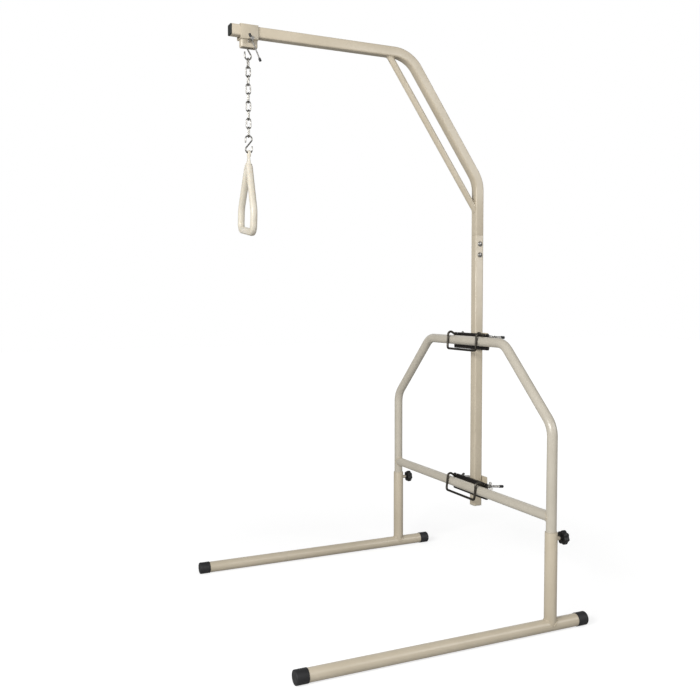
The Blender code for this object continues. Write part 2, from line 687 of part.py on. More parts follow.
def wire_ends(path, radius, sides):
    """Rings along an open wire with small rounded ends."""
    p0, t0 = path[0]
    p1, t1 = path[-1]
    full = [(p0 - t0 * radius * 0.5, t0)] + path + [(p1 + t1 * radius * 0.5, t1)]
    blunt = [circle(radius * 0.7, sides)]
    sections = blunt + [circle(radius, sides)] * len(path) + blunt
    return rings(full, sections, Y)


hook_top = T_SCREW_Z + SCREW_R + CLEAR + 2 * HOOK_WIRE
hook_low = hook_top - UPPER_HOOK
hook = loft("upper_hook", wire_ends(hook_path(hook_low, hook_top, UPPER_TIPS, 1), HOOK_WIRE, 8), CHAIN)
pivot(move(hook, element_frame(0, False)), screw_at)

seat = hook_low + HOOK_WIRE
wire_above = HOOK_WIRE
for n in range(1, LINKS + 1):
    link_top = seat + wire_above + CLEAR + LINK_WIRE
    link_low = link_top - LINK_LENGTH
    r = LINK_LOOP
    path = []
    for k in range(8):
        a = pi * k / 7
        path.append((Vector((r * cos(a), 0, link_top - r + r * sin(a))), Vector((-sin(a), 0, cos(a)))))
    for k in range(8):
        a = pi + pi * k / 7
        path.append((Vector((r * cos(a), 0, link_low + r + r * sin(a))), Vector((-sin(a), 0, cos(a)))))
    link = loft("chain_link_%d" % n, rings(path, circle(LINK_WIRE, 8), Y), CHAIN, wrap=True)
    pivot(move(link, element_frame(n, n % 2 == 1)), (MAST_X, CHAIN_Y, seat))
    seat = link_low
    wire_above = LINK_WIRE
lower_top = seat + wire_above + CLEAR + 2 * HOOK_WIRE
lower_low = lower_top - LOWER_HOOK
index = LINKS + 1
hook = loft("lower_hook", wire_ends(hook_path(lower_low, lower_top, LOWER_TIPS, -1), HOOK_WIRE, 8), CHAIN)
pivot(move(hook, element_frame(index, False)), (MAST_X, CHAIN_Y, seat))
seat = lower_low + HOOK_WIRE

# Handle: a tall ring of moulded plastic, square at the foot, with an eye at its top. It hangs a
# little out of plumb in its own plane, near end down.
eye_z = seat + HOOK_WIRE + CLEAR - EYE_R
foot = eye_z - HANDLE_DROP + HANDLE_DEEP
shoulder = foot - HANDLE_DEEP + HANDLE_SHOULDER
corners = [(-HANDLE_HALF, 0, foot), (HANDLE_HALF, 0, foot), (HANDLE_HALF, 0, shoulder),
           (0, 0, eye_z - HANDLE_POINT), (-HANDLE_HALF, 0, shoulder)]
bends = [HANDLE_CORNER, HANDLE_CORNER, HANDLE_SHOULDER_BEND, HANDLE_TOP_CORNER, HANDLE_SHOULDER_BEND]
ring_path = closed(corners, bends, [5, 5, 3, 6, 3])
handle = loft("handle", rings(ring_path, oval(HANDLE_THICK, HANDLE_DEEP, 2.5, 14), Y), IVORY, wrap=True)
crown_z = max(p.z for p, t in ring_path)
neck = eye_z - crown_z
rows = [(crown_z - 0.18 * neck, 0.0165, HANDLE_THICK - 0.0006), (crown_z + 0.06 * neck, 0.0150, 0.0091),
        (crown_z + 0.16 * neck, 0.0140, 0.0080), (crown_z + 0.30 * neck, 0.0128, 0.0063),
        (crown_z + 0.55 * neck, 0.0118, EYE_THICK + 0.0004), (crown_z + 0.80 * neck, EYE_RIM, EYE_THICK),
        (eye_z, EYE_RIM, EYE_THICK)]
rows += [(eye_z + EYE_RIM * sin(a), EYE_RIM * cos(a), EYE_THICK - 0.0012 * (a / 1.5) ** 3)
         for a in [radians(d) for d in (18, 36, 52, 66, 78, 86)]]
eye_rings = [[Vector((a, b, z)) for a, b in round_rect(w, t, min(w, t) * 0.45, 3)] for z, w, t in rows]
eye = loft("e", eye_rings, IVORY)
fuse(handle, eye)
flare = [(-2 * EYE_THICK, 0.0110), (-1.05 * EYE_THICK, 0.0070), (-0.7 * EYE_THICK, 0.0059),
         (-0.35 * EYE_THICK, 0.0053), (0, EYE_R)]
flare += [(-d, r) for d, r in flare[-2::-1]]
cut(handle, lathe("c", flare, Y, (0, 0, eye_z), IVORY, 20))
about_seat = Matrix.Translation((0, 0, seat)) @ Matrix.Rotation(HANDLE_TILT, 4, "Y")
hung = element_frame(index + 1, True) @ about_seat @ Matrix.Translation((0, 0, -seat))
pivot(move(handle, hung), (MAST_X, CHAIN_Y, seat))

# Mast pieces take the clamp line on the arch as their origin; the rest keep their own places
for ob in list(bpy.data.objects):
    if ob.name not in PIVOTS and not ob.name.startswith(("base_", "sleeve_", "weld_")):
        PIVOTS[ob.name] = Vector(mast_origin)

# The origin of the whole lies on the floor under the middle of the bounding box
bpy.context.view_layer.update()
ys = [v.co.y for ob in bpy.data.objects for v in ob.data.vertices]
shift = Vector((0, -(min(ys) + max(ys)) / 2, 0))
for ob in bpy.data.objects:
    at = PIVOTS.get(ob.name, Vector((0, 0, 0)))
    ob.data.transform(Matrix.Translation(-at))
    ob.location = at + shift
print("shift", round(shift.y, 6), "objects", len(bpy.data.objects))
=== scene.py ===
# %% [markdown]
# # A freestanding trapeze, piece by piece
# A trapeze stand is a bedside lifting aid: two floor tubes carry an arched frame, a square mast is
# clamped to the frame, and a handle hangs on a chain from the cranked boom. Most of it is bent steel
# tube, so this lesson is mostly about rings of vertices that are extruded along a straight and spun
# round a bend, the way a tube bender works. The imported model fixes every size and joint, and the
# finer pieces made here stand in for its plain solids, in the same place.

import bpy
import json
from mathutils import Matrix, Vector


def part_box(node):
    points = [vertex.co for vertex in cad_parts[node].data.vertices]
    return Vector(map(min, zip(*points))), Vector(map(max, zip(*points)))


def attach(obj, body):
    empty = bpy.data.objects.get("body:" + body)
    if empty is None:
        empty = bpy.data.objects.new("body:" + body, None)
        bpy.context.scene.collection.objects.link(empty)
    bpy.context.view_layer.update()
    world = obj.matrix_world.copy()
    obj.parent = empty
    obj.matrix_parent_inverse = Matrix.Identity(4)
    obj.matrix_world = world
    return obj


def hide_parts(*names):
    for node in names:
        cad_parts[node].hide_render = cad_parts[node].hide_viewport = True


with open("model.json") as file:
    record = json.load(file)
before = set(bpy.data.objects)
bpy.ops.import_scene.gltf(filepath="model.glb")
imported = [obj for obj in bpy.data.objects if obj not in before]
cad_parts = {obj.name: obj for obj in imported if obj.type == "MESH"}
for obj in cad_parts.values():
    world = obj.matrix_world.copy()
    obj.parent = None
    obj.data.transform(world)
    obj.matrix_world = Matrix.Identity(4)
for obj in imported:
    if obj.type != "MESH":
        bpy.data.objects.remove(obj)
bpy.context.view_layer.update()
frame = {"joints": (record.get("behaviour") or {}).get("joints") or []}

# %% Sizes that the pieces share
import json
from math import asin, atan2, cos, pi, radians, sin, tan

import bmesh
import bpy
from mathutils import Matrix, Vector

X, Y, Z = Vector((1, 0, 0)), Vector((0, 1, 0)), Vector((0, 0, 1))
SIDES = (("near", 1), ("far", -1))
CLAMPS = ("upper", "lower")


def middle(node):
    low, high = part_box(node)
    return (low + high) / 2


BASE_R, BAR_R = 0.01905, 0.015875
TUBE, CORNER = 0.03175, 0.005
SCREW_R = 0.004
GAP = 0.0003
LEG_X = middle("sleeve_near").x
ARCH_Y = middle("crossbar").y
CROSS_Z = middle("crossbar").z
ARCH_TOP_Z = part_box("arch_tube")[1].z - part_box("crossbar")[1].z + CROSS_Z
BASE_Z = middle("base_tube_near").z
MAST = middle("mast_lower")
BOOM_Z = middle("boom_end_plug").z
pivots = {j["name"]: Vector(j["pos_m"]) for j in frame["joints"] if "pos_m" in j}
print("arch top", round(ARCH_TOP_Z, 4), "boom", round(BOOM_Z, 4), "arch plane y", round(ARCH_Y, 4))

# %% [markdown]
# ## The camera
# The picture was taken from beside the near floor tube, about a metre above the floor, with a normal
# lens. The camera was worked out once from the straight edges of the tubes, and is given as a place,
# three angles and a focal length.

# %% Camera
LENS_MM, SENSOR_MM, SIGHT = 42.17, 36.0, 60
TURN, TILT, ROLL = radians(65.191), radians(-3.3955), radians(-0.1421)
camera_data = bpy.data.cameras.new("camera")
camera_data.lens = LENS_MM
camera_data.sensor_width = SENSOR_MM
camera_data.clip_end = SIGHT
camera = bpy.data.objects.new("camera", camera_data)
bpy.context.scene.collection.objects.link(camera)
bpy.context.scene.camera = camera
forward = Vector((-sin(TURN) * cos(TILT), cos(TURN) * cos(TILT), sin(TILT)))
level = Vector((cos(TURN), sin(TURN), 0))
rise = level.cross(forward)
right = level * cos(ROLL) + rise * sin(ROLL)
up = rise * cos(ROLL) - level * sin(ROLL)
pose = Matrix((right, up, -forward)).transposed().to_4x4()
pose.translation = Vector((2.4273, ARCH_Y - 1.5610, 0.9957))
camera.matrix_world = pose

# %% [markdown]
# ## Small helpers for nodes and colours
# One function adds a node, fills in its settings and joins its inputs, so a material reads as a list
# of what feeds what. Colours are hex values, as on a paint chart, and are turned into the linear
# light that Blender works in.

# %% Material helpers
def linear(hex_colour):
    """A hex colour as linear RGBA."""
    out = []
    for i in (1, 3, 5):
        c = int(hex_colour[i:i + 2], 16) / 255
        out.append(c / 12.92 if c <= 0.04045 else ((c + 0.055) / 1.055) ** 2.4)
    return (*out, 1.0)


def grey(level):
    return (level, level, level, 1)


def start_material(name, hex_colour, metallic, roughness):
    made = bpy.data.materials.new(name)
    made.use_nodes = True
    shader = made.node_tree.nodes["Principled BSDF"]
    shader.inputs["Base Color"].default_value = linear(hex_colour)
    shader.inputs["Metallic"].default_value = metallic
    shader.inputs["Roughness"].default_value = roughness
    return made, shader


def feed(material, source, socket):
    material.node_tree.links.new(source, socket)


def add(material, kind, links=None, **settings):
    """One node: links maps an input to a socket that feeds it, settings fill inputs or properties."""
    node = material.node_tree.nodes.new("ShaderNode" + kind)
    for key, value in settings.items():
        if key in node.inputs:
            node.inputs[key].default_value = value
        else:
            setattr(node, key, value)
    for key, source in (links or {}).items():
        feed(material, source, node.inputs[key])
    return node


def ramp(material, source, stops):
    """A colour ramp through (position, colour) stops."""
    node = add(material, "ValToRGB", {"Fac": source})
    for n, (place, colour) in enumerate(stops):
        stop = node.color_ramp.elements[n] if n < 2 else node.color_ramp.elements.new(place)
        stop.position = place
        stop.color = colour
    return node.outputs["Color"]


# %% [markdown]
# ## One pattern for every surface
# Paint, plastic and plating all have a fine grain that catches the light, and slow shifts of tone
# over a wider area. One function makes them: a fine noise goes into the bump, and a broad one moves
# the colour and the shine. The pattern reads Object coordinates, so it stays in place on the piece.
# Cells and depths are in millimetres.

# %% Patterned surface
def patterned(name, main, other, metallic, shine, grain, tone, band, gloss):
    """grain: cell, detail, strength, depth. tone: cell, detail, roughness. gloss: duller, shinier."""
    made, shader = start_material(name, main, metallic, shine)
    place = add(made, "TexCoord").outputs["Object"]
    cell, detail, strength, depth = grain
    fine = add(made, "TexNoise", {"Vector": place}, Scale=1000 / cell, Detail=detail)
    cell, detail, roughness = tone
    broad = add(made, "TexNoise", {"Vector": place}, Scale=1000 / cell, Detail=detail,
                Roughness=roughness).outputs["Fac"]
    colour = ramp(made, broad, [(band, linear(other)), (1 - band, linear(main))])
    feed(made, colour, shader.inputs["Base Color"])
    duller, shinier = gloss
    sheen = add(made, "MapRange", {"Value": broad},
                **{"To Min": shine + duller, "To Max": shine - shinier})
    feed(made, sheen.outputs["Result"], shader.inputs["Roughness"])
    bump = add(made, "Bump", {"Height": fine.outputs["Fac"]}, Strength=strength,
               Distance=depth / 1000)
    feed(made, bump.outputs["Normal"], shader.inputs["Normal"])
    return made


# %% [markdown]
# ## Powder coat
# Powder melts into a skin that is never quite flat: it has an orange-peel ripple of one to two
# millimetres, a semi-gloss shine, and slow shifts of tone over a hand's width. The upright frame is a
# shade greyer than the mast and base, and the pressed steel plates are a little duller.

# %% Powder coat
def powder_coat(name, pale, dark, shine=0.28):
    return patterned(name, pale, dark, 0.0, shine, (1.6, 2.0, 0.12, 0.06), (120.0, 4.0, 0.6), 0.3,
                     (0.06, 0.05))


beige = powder_coat("powder_coat_beige", "#c6bba7", "#beb39e")
beige_frame = powder_coat("powder_coat_beige_frame", "#c5beb0", "#bdb6a7")
beige_pressed = powder_coat("powder_coat_beige_pressed_steel", "#c3b9a6", "#b8ad98", 0.34)

# %% [markdown]
# ## Rubber, vinyl and moulded plastic
# The end caps are dipped vinyl: nearly black, with a dull sheen and fine scuffs. The knobs and jaws
# are moulded with a grain of half a millimetre or a little more. The handle is a smooth ivory plastic
# with a satin shine and faint flow marks, and a little light gets into its skin.

# %% Plastics
def moulded(name, main, other, shine, grain_mm, depth_mm, tone_mm=40.0):
    return patterned(name, main, other, 0.0, shine, (grain_mm, 3.0, 0.35, depth_mm), (tone_mm, 5.0, 0.5),
                     0.35, (0.08, 0.06))


vinyl_black = moulded("dipped_vinyl_black", "#232325", "#1c1c1e", 0.6, 0.6, 0.04)
knob_black = moulded("moulded_nylon_black", "#101011", "#0b0b0c", 0.5, 0.5, 0.05)
jaw_black = moulded("moulded_jaw_black", "#1a1410", "#110d0a", 0.6, 0.7, 0.06)
plug_black = moulded("polythene_plug_black", "#20241f", "#181b18", 0.55, 0.8, 0.05)
plug_pale = moulded("polythene_plug_grey", "#c9c5ba", "#beb9ad", 0.5, 0.8, 0.05)
ivory_plastic = moulded("ivory_plastic_gloss", "#d6cfc0", "#cdc5b4", 0.40, 1.2, 0.015, 70.0)
for name, value in (("Weight", 0.08), ("Radius", (0.004, 0.003, 0.002)), ("Scale", 1.0)):
    ivory_plastic.node_tree.nodes["Principled BSDF"].inputs["Subsurface " + name].default_value = value

# %% [markdown]
# ## Plated and plain steel
# Bolts, wing nuts, hooks and chain are zinc plated: a dull grey, with a soft mirror that small
# tumbling marks break up. The clamp rods are darker, phosphated steel that hardly shines. The broad
# noise gives the patches of thicker plating.

# %% Steels
def steel(name, main, other, shine, mark_mm, depth_mm):
    return patterned(name, main, other, 1.0, shine, (mark_mm, 3.0, 0.3, depth_mm), (9.0, 4.0, 0.5), 0.35,
                     (0.08, 0.07))


zinc_plate = steel("zinc_plated_steel", "#a3a19d", "#8b8985", 0.32, 0.9, 0.03)
chain_plate = steel("zinc_plated_chain_steel", "#96948f", "#7c7a75", 0.28, 1.1, 0.04)
rod_steel = steel("phosphated_rod_steel", "#56524b", "#45423c", 0.40, 0.7, 0.03)
print(len(bpy.data.materials), "materials")

# %% [markdown]
# ## Floor, backdrop and light
# The stand was photographed on a white sweep between two softboxes, both about a metre higher than
# the camera: a wide, low strip some 30 degrees to its left, and a weaker one some 60 degrees to its
# right. The sweep is white to the camera everywhere. It is greyer for the light that bounces, so the
# undersides of the tubes go dark as they do in the picture. Shiny metal sees the white sweep behind
# the object, a dim room at the sides and a half-lit front of the room.

# %% Stage
FLOOR_WIDE, FLOOR_Z = 30, -0.0006
FALL_OFF = {"From Min": 0.9, "From Max": 3.0, "To Min": 0.70, "To Max": 0.92}
bpy.ops.object.select_all(action="DESELECT")
bpy.ops.mesh.primitive_plane_add(size=FLOOR_WIDE, location=(0, 0, FLOOR_Z))
floor = bpy.context.object
floor.name = "floor"
matt, matt_shader = start_material("matt_white_floor", "#bcbcbb", 0.0, 0.9)
matt_shader.inputs["Specular IOR Level"].default_value = 0.0
seen = add(matt, "LightPath").outputs["Is Camera Ray"]
soft = add(matt, "BsdfDiffuse", Color=grey(0.45))
place = add(matt, "TexCoord").outputs["Object"]
away = add(matt, "VectorMath", {0: place}, operation="LENGTH")
lift = add(matt, "MapRange", {"Value": away.outputs["Value"]}, **FALL_OFF)
glow = add(matt, "Emission", {"Strength": lift.outputs["Result"]}, Color=grey(1))
both = add(matt, "AddShader", {0: soft.outputs["BSDF"], 1: glow.outputs["Emission"]})
pick = add(matt, "MixShader",
           {"Fac": seen, 1: matt_shader.outputs["BSDF"], 2: both.outputs["Shader"]})
feed(matt, pick.outputs["Shader"], matt.node_tree.nodes["Material Output"].inputs["Surface"])
floor.data.materials.append(matt)

# %% World
AWAY = (-0.9077, 0.4196, 0.0)
ROOM = ((0.0, 0.46), (0.30, 0.36), (0.50, 0.15), (0.80, 0.10), (0.93, 0.9))
BOUNCED, SWEEP = 0.30, 1.0
world = bpy.data.worlds.new("white_sweep")
bpy.context.scene.world = world
world.use_nodes = True
sky = world.node_tree.nodes["Background"]
sky.inputs["Color"].default_value = grey(1)
ray = add(world, "LightPath").outputs
looking = add(world, "TexCoord").outputs["Generated"]
behind = add(world, "VectorMath", {0: looking}, operation="DOT_PRODUCT")
behind.inputs[1].default_value = AWAY
share = add(world, "MapRange", {"Value": behind.outputs["Value"]}, **{"From Min": -1.0})
room = ramp(world, share.outputs["Result"], [(where, grey(bright)) for where, bright in ROOM])
shiny = add(world, "Math", {0: ray["Is Glossy Ray"], 1: ray["Is Transmission Ray"]},
            operation="MAXIMUM")
plain = add(world, "Mix", {"Factor": shiny.outputs["Value"], "B": room}, A=BOUNCED)
white = add(world, "Mix", {"Factor": ray["Is Camera Ray"], "A": plain.outputs["Result"]}, B=SWEEP)
feed(world, white.outputs["Result"], sky.inputs["Strength"])


# %% Softboxes
def softbox(name, place, aim, wide, high, watts):
    lamp = bpy.data.lights.new(name, "AREA")
    lamp.shape = "RECTANGLE"
    lamp.size, lamp.size_y = wide, high
    lamp.energy = watts
    holder = bpy.data.objects.new(name, lamp)
    bpy.context.scene.collection.objects.link(holder)
    holder.location = place
    holder.rotation_euler = (Vector(aim) - Vector(place)).to_track_quat("-Z", "Y").to_euler()
    holder.visible_camera = False


softbox("softbox_left", (2.0, -3.4, 2.2), (0, 0, 0.8), 2.6, 1.2, 166)
softbox("softbox_right", (3.3, 2.3, 2.2), (0, 0, 0.8), 2.9, 1.5, 52)
bpy.context.scene.view_settings.view_transform = "Standard"

# %% [markdown]
# ## Tools for making pieces
# Each piece starts from a primitive at its true size and place. Its transform is applied at once, so
# edit mode works in plain world metres. The finish parents the piece to the empty of the body that
# carries it, and hides the plain solid it stands for.

# %% Starting and growing
CLOSE, MERGE = 0.00001, 0.00002


def rest():
    """Object mode, with nothing selected."""
    if bpy.context.object and bpy.context.object.mode == "EDIT":
        bpy.ops.object.mode_set(mode="OBJECT")
    bpy.ops.object.select_all(action="DESELECT")


def edit_all():
    bpy.ops.object.transform_apply()
    bpy.ops.object.mode_set(mode="EDIT")
    bpy.ops.mesh.select_mode(type="VERT")
    bpy.ops.mesh.select_all(action="SELECT")


def facing(direction):
    """The rotation that turns a primitive's +Z towards a direction."""
    return Vector(direction).to_track_quat("Z", "Y").to_euler()


def start_ring(radius, place, direction, sides=40):
    rest()
    bpy.ops.mesh.primitive_circle_add(vertices=sides, radius=radius, location=place,
                                      rotation=facing(direction))
    edit_all()


def cylinder(radius, depth, place, direction, sides=40):
    rest()
    bpy.ops.mesh.primitive_cylinder_add(vertices=sides, radius=radius, depth=depth, location=place,
                                        rotation=facing(direction))
    bpy.ops.object.transform_apply()
    return bpy.context.object


def extrude(step):
    bpy.ops.mesh.extrude_region_move(TRANSFORM_OT_translate={"value": tuple(step)})


def spin(angle, centre, axis, steps):
    bpy.ops.mesh.spin(steps=steps, angle=-angle, center=centre, axis=axis)


def follow(corners, radii, steps):
    """Push the selected ring along the corners' straights and spin it round each bend."""
    corners = [Vector(c) for c in corners]
    here = corners[0]
    for before, corner, later, radius in zip(corners, corners[1:], corners[2:], radii):
        ahead, after = (corner - before).normalized(), (later - corner).normalized()
        angle = ahead.angle(after)
        stop = corner - ahead * radius * tan(angle / 2)
        if (stop - here).length > CLOSE:
            extrude(stop - here)
        axis = ahead.cross(after).normalized()
        spin(angle, stop + axis.cross(ahead) * radius, axis, steps)
        here = corner + after * radius * tan(angle / 2)
    extrude(corners[-1] - here)


# %% Selecting and shaping
def select_where(test):
    """Select the vertices that pass a test on their place; the mesh stays in edit mode."""
    mesh = bmesh.from_edit_mesh(bpy.context.object.data)
    bpy.ops.mesh.select_all(action="DESELECT")
    for vertex in mesh.verts:
        if test(vertex.co):
            vertex.select = True
    mesh.select_flush_mode()
    bmesh.update_edit_mesh(bpy.context.object.data)


def round_rim(test, width, segments, profile=0.5):
    """Round the edges between the vertices that pass a test."""
    select_where(test)
    bpy.ops.mesh.bevel(offset=width, segments=segments, profile=profile, affect="EDGES")


def reshape(place):
    """Put each selected vertex where the function says."""
    mesh = bmesh.from_edit_mesh(bpy.context.object.data)
    for vertex in mesh.verts:
        if vertex.select:
            vertex.co = place(vertex.co.copy())
    bmesh.update_edit_mesh(bpy.context.object.data)


def set_normals():
    bpy.ops.mesh.select_all(action="SELECT")
    bpy.ops.mesh.remove_doubles(threshold=MERGE)
    bpy.ops.mesh.normals_make_consistent(inside=False)


def to_object():
    """Leave edit mode with clean outward faces."""
    set_normals()
    bpy.ops.object.mode_set(mode="OBJECT")
    return bpy.context.object


def closed_object():
    """The same, with the open ends filled."""
    set_normals()
    bpy.ops.mesh.fill_holes(sides=0)
    return to_object()


# %% Modifiers and the finish
def apply_modifier(piece, kind, **settings):
    bpy.context.view_layer.objects.active = piece
    modifier = piece.modifiers.new(kind.lower(), kind)
    for key, value in settings.items():
        setattr(modifier, key, value)
    bpy.ops.object.modifier_apply(modifier=modifier.name)


def round_edges(piece, width, segments=2, limit=40):
    apply_modifier(piece, "BEVEL", width=width, segments=segments, limit_method="ANGLE",
                   angle_limit=radians(limit))


def combine(piece, other, operation="DIFFERENCE"):
    """Cut a piece with another, or join them; the other then goes."""
    apply_modifier(piece, "BOOLEAN", object=other, operation=operation, solver="EXACT")
    bpy.data.objects.remove(other)


def hollowed(thickness):
    """The shell just grown, with a wall put on inwards."""
    piece = to_object()
    apply_modifier(piece, "SOLIDIFY", thickness=thickness, offset=-1.0)
    return piece


def finish(piece, name, body, material, nodes=(), angle=40):
    """Name, shade and paint a piece, and hand it to the frame."""
    rest()
    piece.select_set(True)
    bpy.context.view_layer.objects.active = piece
    bpy.ops.object.shade_smooth_by_angle(angle=radians(angle))
    piece.name = name
    piece.data.name = name
    piece.data.materials.append(material)
    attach(piece, body)
    if nodes:
        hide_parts(*nodes)


# %% [markdown]
# ## Floor tubes and their caps
# A floor tube is a plain length of tube, so a ring is extruded once and Solidify gives it a wall. A
# cap is a dipped vinyl thimble: a short cylinder, opened at its mouth and rounded at its closed end,
# with a wall put on inwards.

# %% Base
BASE_WALL, CAP_EDGE, CAP_SKIN, CAP_LIP, CAP_LIFT = 0.0025, 0.0034, 0.0014, 0.0004, 0.0001


def round_tube(radius, path, thickness, radii=(), steps=16):
    path = [Vector(p) for p in path]
    start_ring(radius, path[0], path[1] - path[0], 48)
    follow(path, radii, steps)
    return hollowed(thickness)


for which, side in SIDES:
    low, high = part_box("base_tube_" + which)
    x = side * LEG_X
    length = round_tube(BASE_R, [(x, low.y, BASE_Z), (x, high.y, BASE_Z)], BASE_WALL)
    finish(length, "floor_tube_" + which, "base", beige, ["base_tube_" + which])
    for end in ("front", "back"):
        node = f"base_cap_{end}_{which}"
        low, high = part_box(node)
        closed, mouth = (low.y, high.y) if end == "front" else (high.y, low.y)
        cylinder(BASE_Z - CAP_LIFT, high.y - low.y, (x, (low.y + high.y) / 2, BASE_Z), Y, 48)
        edit_all()
        select_where(lambda co: abs(co.y - mouth) < CLOSE)
        bpy.ops.mesh.delete(type="ONLY_FACE")
        round_rim(lambda co: abs(co.y - closed) < CLOSE, CAP_EDGE, 5, 0.55)
        cap = hollowed(CAP_SKIN)
        round_edges(cap, CAP_LIP, 2, 50)
        finish(cap, f"vinyl_cap_{end}_{which}", "base", vinyl_black, [node])

# %% [markdown]
# ## Upright sleeves
# Each sleeve is a tube whose foot is cut to sit astride the floor tube, by a Boolean with a cylinder
# a hair wider than the tube. A weld bead closes the joint: a thin ring that follows the saddle, with
# the small ripples that a welder's hand leaves, under the paint.

# %% Weld beads
BEAD_STEP, BEAD_SIDES, BEAD_RIPPLE = 0.0009, 10, 0.09
BEAD_OUT, BEAD_WIDE, BEAD_LONG = 0.0006, 1.01, 1.03


def around(count, start=0.0):
    """The cosine and sine at even steps round a circle."""
    angles = [2 * pi * (n + start) / count for n in range(count)]
    return [(cos(angle), sin(angle)) for angle in angles]


def spaced(points, step):
    """Points an even step apart along a closed line."""
    ends = points[1:] + points[:1]
    total = sum((b - a).length for a, b in zip(points, ends))
    count = max(12, round(total / step))
    out, passed, n = [], 0.0, 0
    for a, b in zip(points, ends):
        length = (b - a).length
        while n < count and n * total / count < passed + length:
            out.append(a.lerp(b, (n * total / count - passed) / length))
            n += 1
        passed += length
    return out


def weld_bead(name, body, points, radius):
    """A rippled bead along a closed line of points."""
    points = spaced(points, BEAD_STEP)
    count = len(points)
    rest()
    bpy.ops.mesh.primitive_torus_add(major_segments=count, minor_segments=BEAD_SIDES, major_radius=1.0,
                                     minor_radius=0.1)
    vertices = bpy.context.object.data.vertices
    for n, here in enumerate(points):
        ahead = (points[(n + 1) % count] - points[n - 1]).normalized()
        side = ahead.orthogonal().normalized()
        other = ahead.cross(side)
        swell = radius * (1 + BEAD_RIPPLE * cos(2 * pi * n / 3))
        for k, (c, s) in enumerate(around(BEAD_SIDES)):
            vertices[n * BEAD_SIDES + k].co = here + (side * c + other * s) * swell
    bpy.ops.object.mode_set(mode="EDIT")
    finish(to_object(), name, body, beige)


# %% Sleeves
KNOB_Z = pivots["knob_near_turn"].z
SLEEVE_WALL, SLEEVE_FOOT, SADDLE_BEAD = 0.00257, 0.002, 0.0019
BOSS_R, BOSS_SUNK, BOSS_EDGE = 0.0062, 0.0012, 0.0008
CUT_GAP, CUT_LONG = 0.0002, 0.1
for which, side in SIDES:
    x = side * LEG_X
    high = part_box("sleeve_" + which)[1]
    sleeve = round_tube(BASE_R, [(x, ARCH_Y, BASE_Z + SLEEVE_FOOT), (x, ARCH_Y, high.z)], SLEEVE_WALL)
    combine(sleeve, cylinder(BASE_R + CUT_GAP, CUT_LONG, (x, ARCH_Y, BASE_Z), Y, 96))
    boss_root = ARCH_Y + BASE_R - BOSS_SUNK
    boss = cylinder(BOSS_R, high.y - boss_root, (x, (high.y + boss_root) / 2, KNOB_Z), Y)
    round_edges(boss, BOSS_EDGE, 3)
    combine(sleeve, boss, "UNION")
    round_edges(sleeve, 0.0004, 2, 60)
    finish(sleeve, "upright_sleeve_" + which, "base", beige, ["sleeve_" + which])
    saddle = [Vector((x + BASE_R * c * BEAD_WIDE, ARCH_Y + BASE_R * s * BEAD_LONG,
                      BASE_Z + BASE_R * abs(s) + BEAD_OUT)) for c, s in around(96)]
    weld_bead("weld_sleeve_foot_" + which, "base", saddle, SADDLE_BEAD)

# %% [markdown]
# ## The arch
# Both uprights, both slants and the top bar are one tube, bent four times. The ring starts at the
# foot of one upright and follows five straights. The bends have a centre-line radius of 75 mm, as a
# mandrel bender gives. The cross rail is a plain tube, hollowed at both ends to fit the uprights.

# %% Arch and crossbar
ARCH_LOW_Z, ARCH_TOP_X, ARCH_BEND = 0.6224, 0.2345, 0.075
BAR_WALL, RAIL_BEAD = 0.002, 0.0017
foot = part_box("arch_tube")[0].z
corners = [(LEG_X, ARCH_Y, foot), (LEG_X, ARCH_Y, ARCH_LOW_Z), (ARCH_TOP_X, ARCH_Y, ARCH_TOP_Z),
           (-ARCH_TOP_X, ARCH_Y, ARCH_TOP_Z), (-LEG_X, ARCH_Y, ARCH_LOW_Z), (-LEG_X, ARCH_Y, foot)]
arch = round_tube(BAR_R, corners, BAR_WALL, [ARCH_BEND] * 4)
finish(arch, "arch", "arch", beige_frame, ["arch_tube"])

rail = round_tube(BAR_R, [(-LEG_X, ARCH_Y, CROSS_Z), (LEG_X, ARCH_Y, CROSS_Z)], BAR_WALL)
for which, side in SIDES:
    combine(rail, cylinder(BAR_R + CUT_GAP, CUT_LONG, (side * LEG_X, ARCH_Y, CROSS_Z), Z, 96))
finish(rail, "cross_rail", "arch", beige_frame, ["crossbar"])
for which, side in SIDES:
    ring = [Vector((side * (LEG_X - BAR_R * abs(s) - BEAD_OUT), ARCH_Y + BAR_R * c * BEAD_WIDE,
                    CROSS_Z + BAR_R * s * BEAD_LONG)) for c, s in around(84)]
    weld_bead("weld_cross_rail_" + which, "arch", ring, RAIL_BEAD)

# %% [markdown]
# ## Mast and boom
# The mast is square tube with rounded corners. A plane gives the four corners, a vertex bevel rounds
# them, and the loop is then pushed up the mast, round the two bends and out along the boom. The mast
# is in two lengths over a hidden insert, so the joint shows as a fine line above the two bolts.

# %% Square tubes
MAST_BEND_Z, BOOM_BEND_Y, BEND_R = 1.4059, ARCH_Y - 0.2331, 0.105


def start_plate(place, direction, width, height, corner, filled=True):
    """A rounded rectangle, width level and height upright, facing a direction."""
    rest()
    bpy.ops.mesh.primitive_plane_add(size=1, location=place, rotation=facing(direction))
    bpy.context.object.scale = (width, height, 1)
    edit_all()
    if not filled:
        bpy.ops.mesh.delete(type="ONLY_FACE")
        bpy.ops.mesh.select_all(action="SELECT")
    bpy.ops.mesh.bevel(offset=corner, offset_type="OFFSET", segments=6, affect="VERTICES")
    bpy.ops.mesh.select_all(action="SELECT")


def square_tube(name, node, rises, radii=(), size=TUBE, corner=CORNER, material=beige):
    """A square tube that starts on the mast's line and goes through (y, z) points."""
    path = [(MAST.x, y, z) for y, z in rises]
    start_plate(path[0], Z, size, size, corner, filled=False)
    follow(path, radii, 18)
    piece = hollowed(0.002)
    round_edges(piece, 0.0003, 2, 60)
    finish(piece, name, "mast", material, [node])


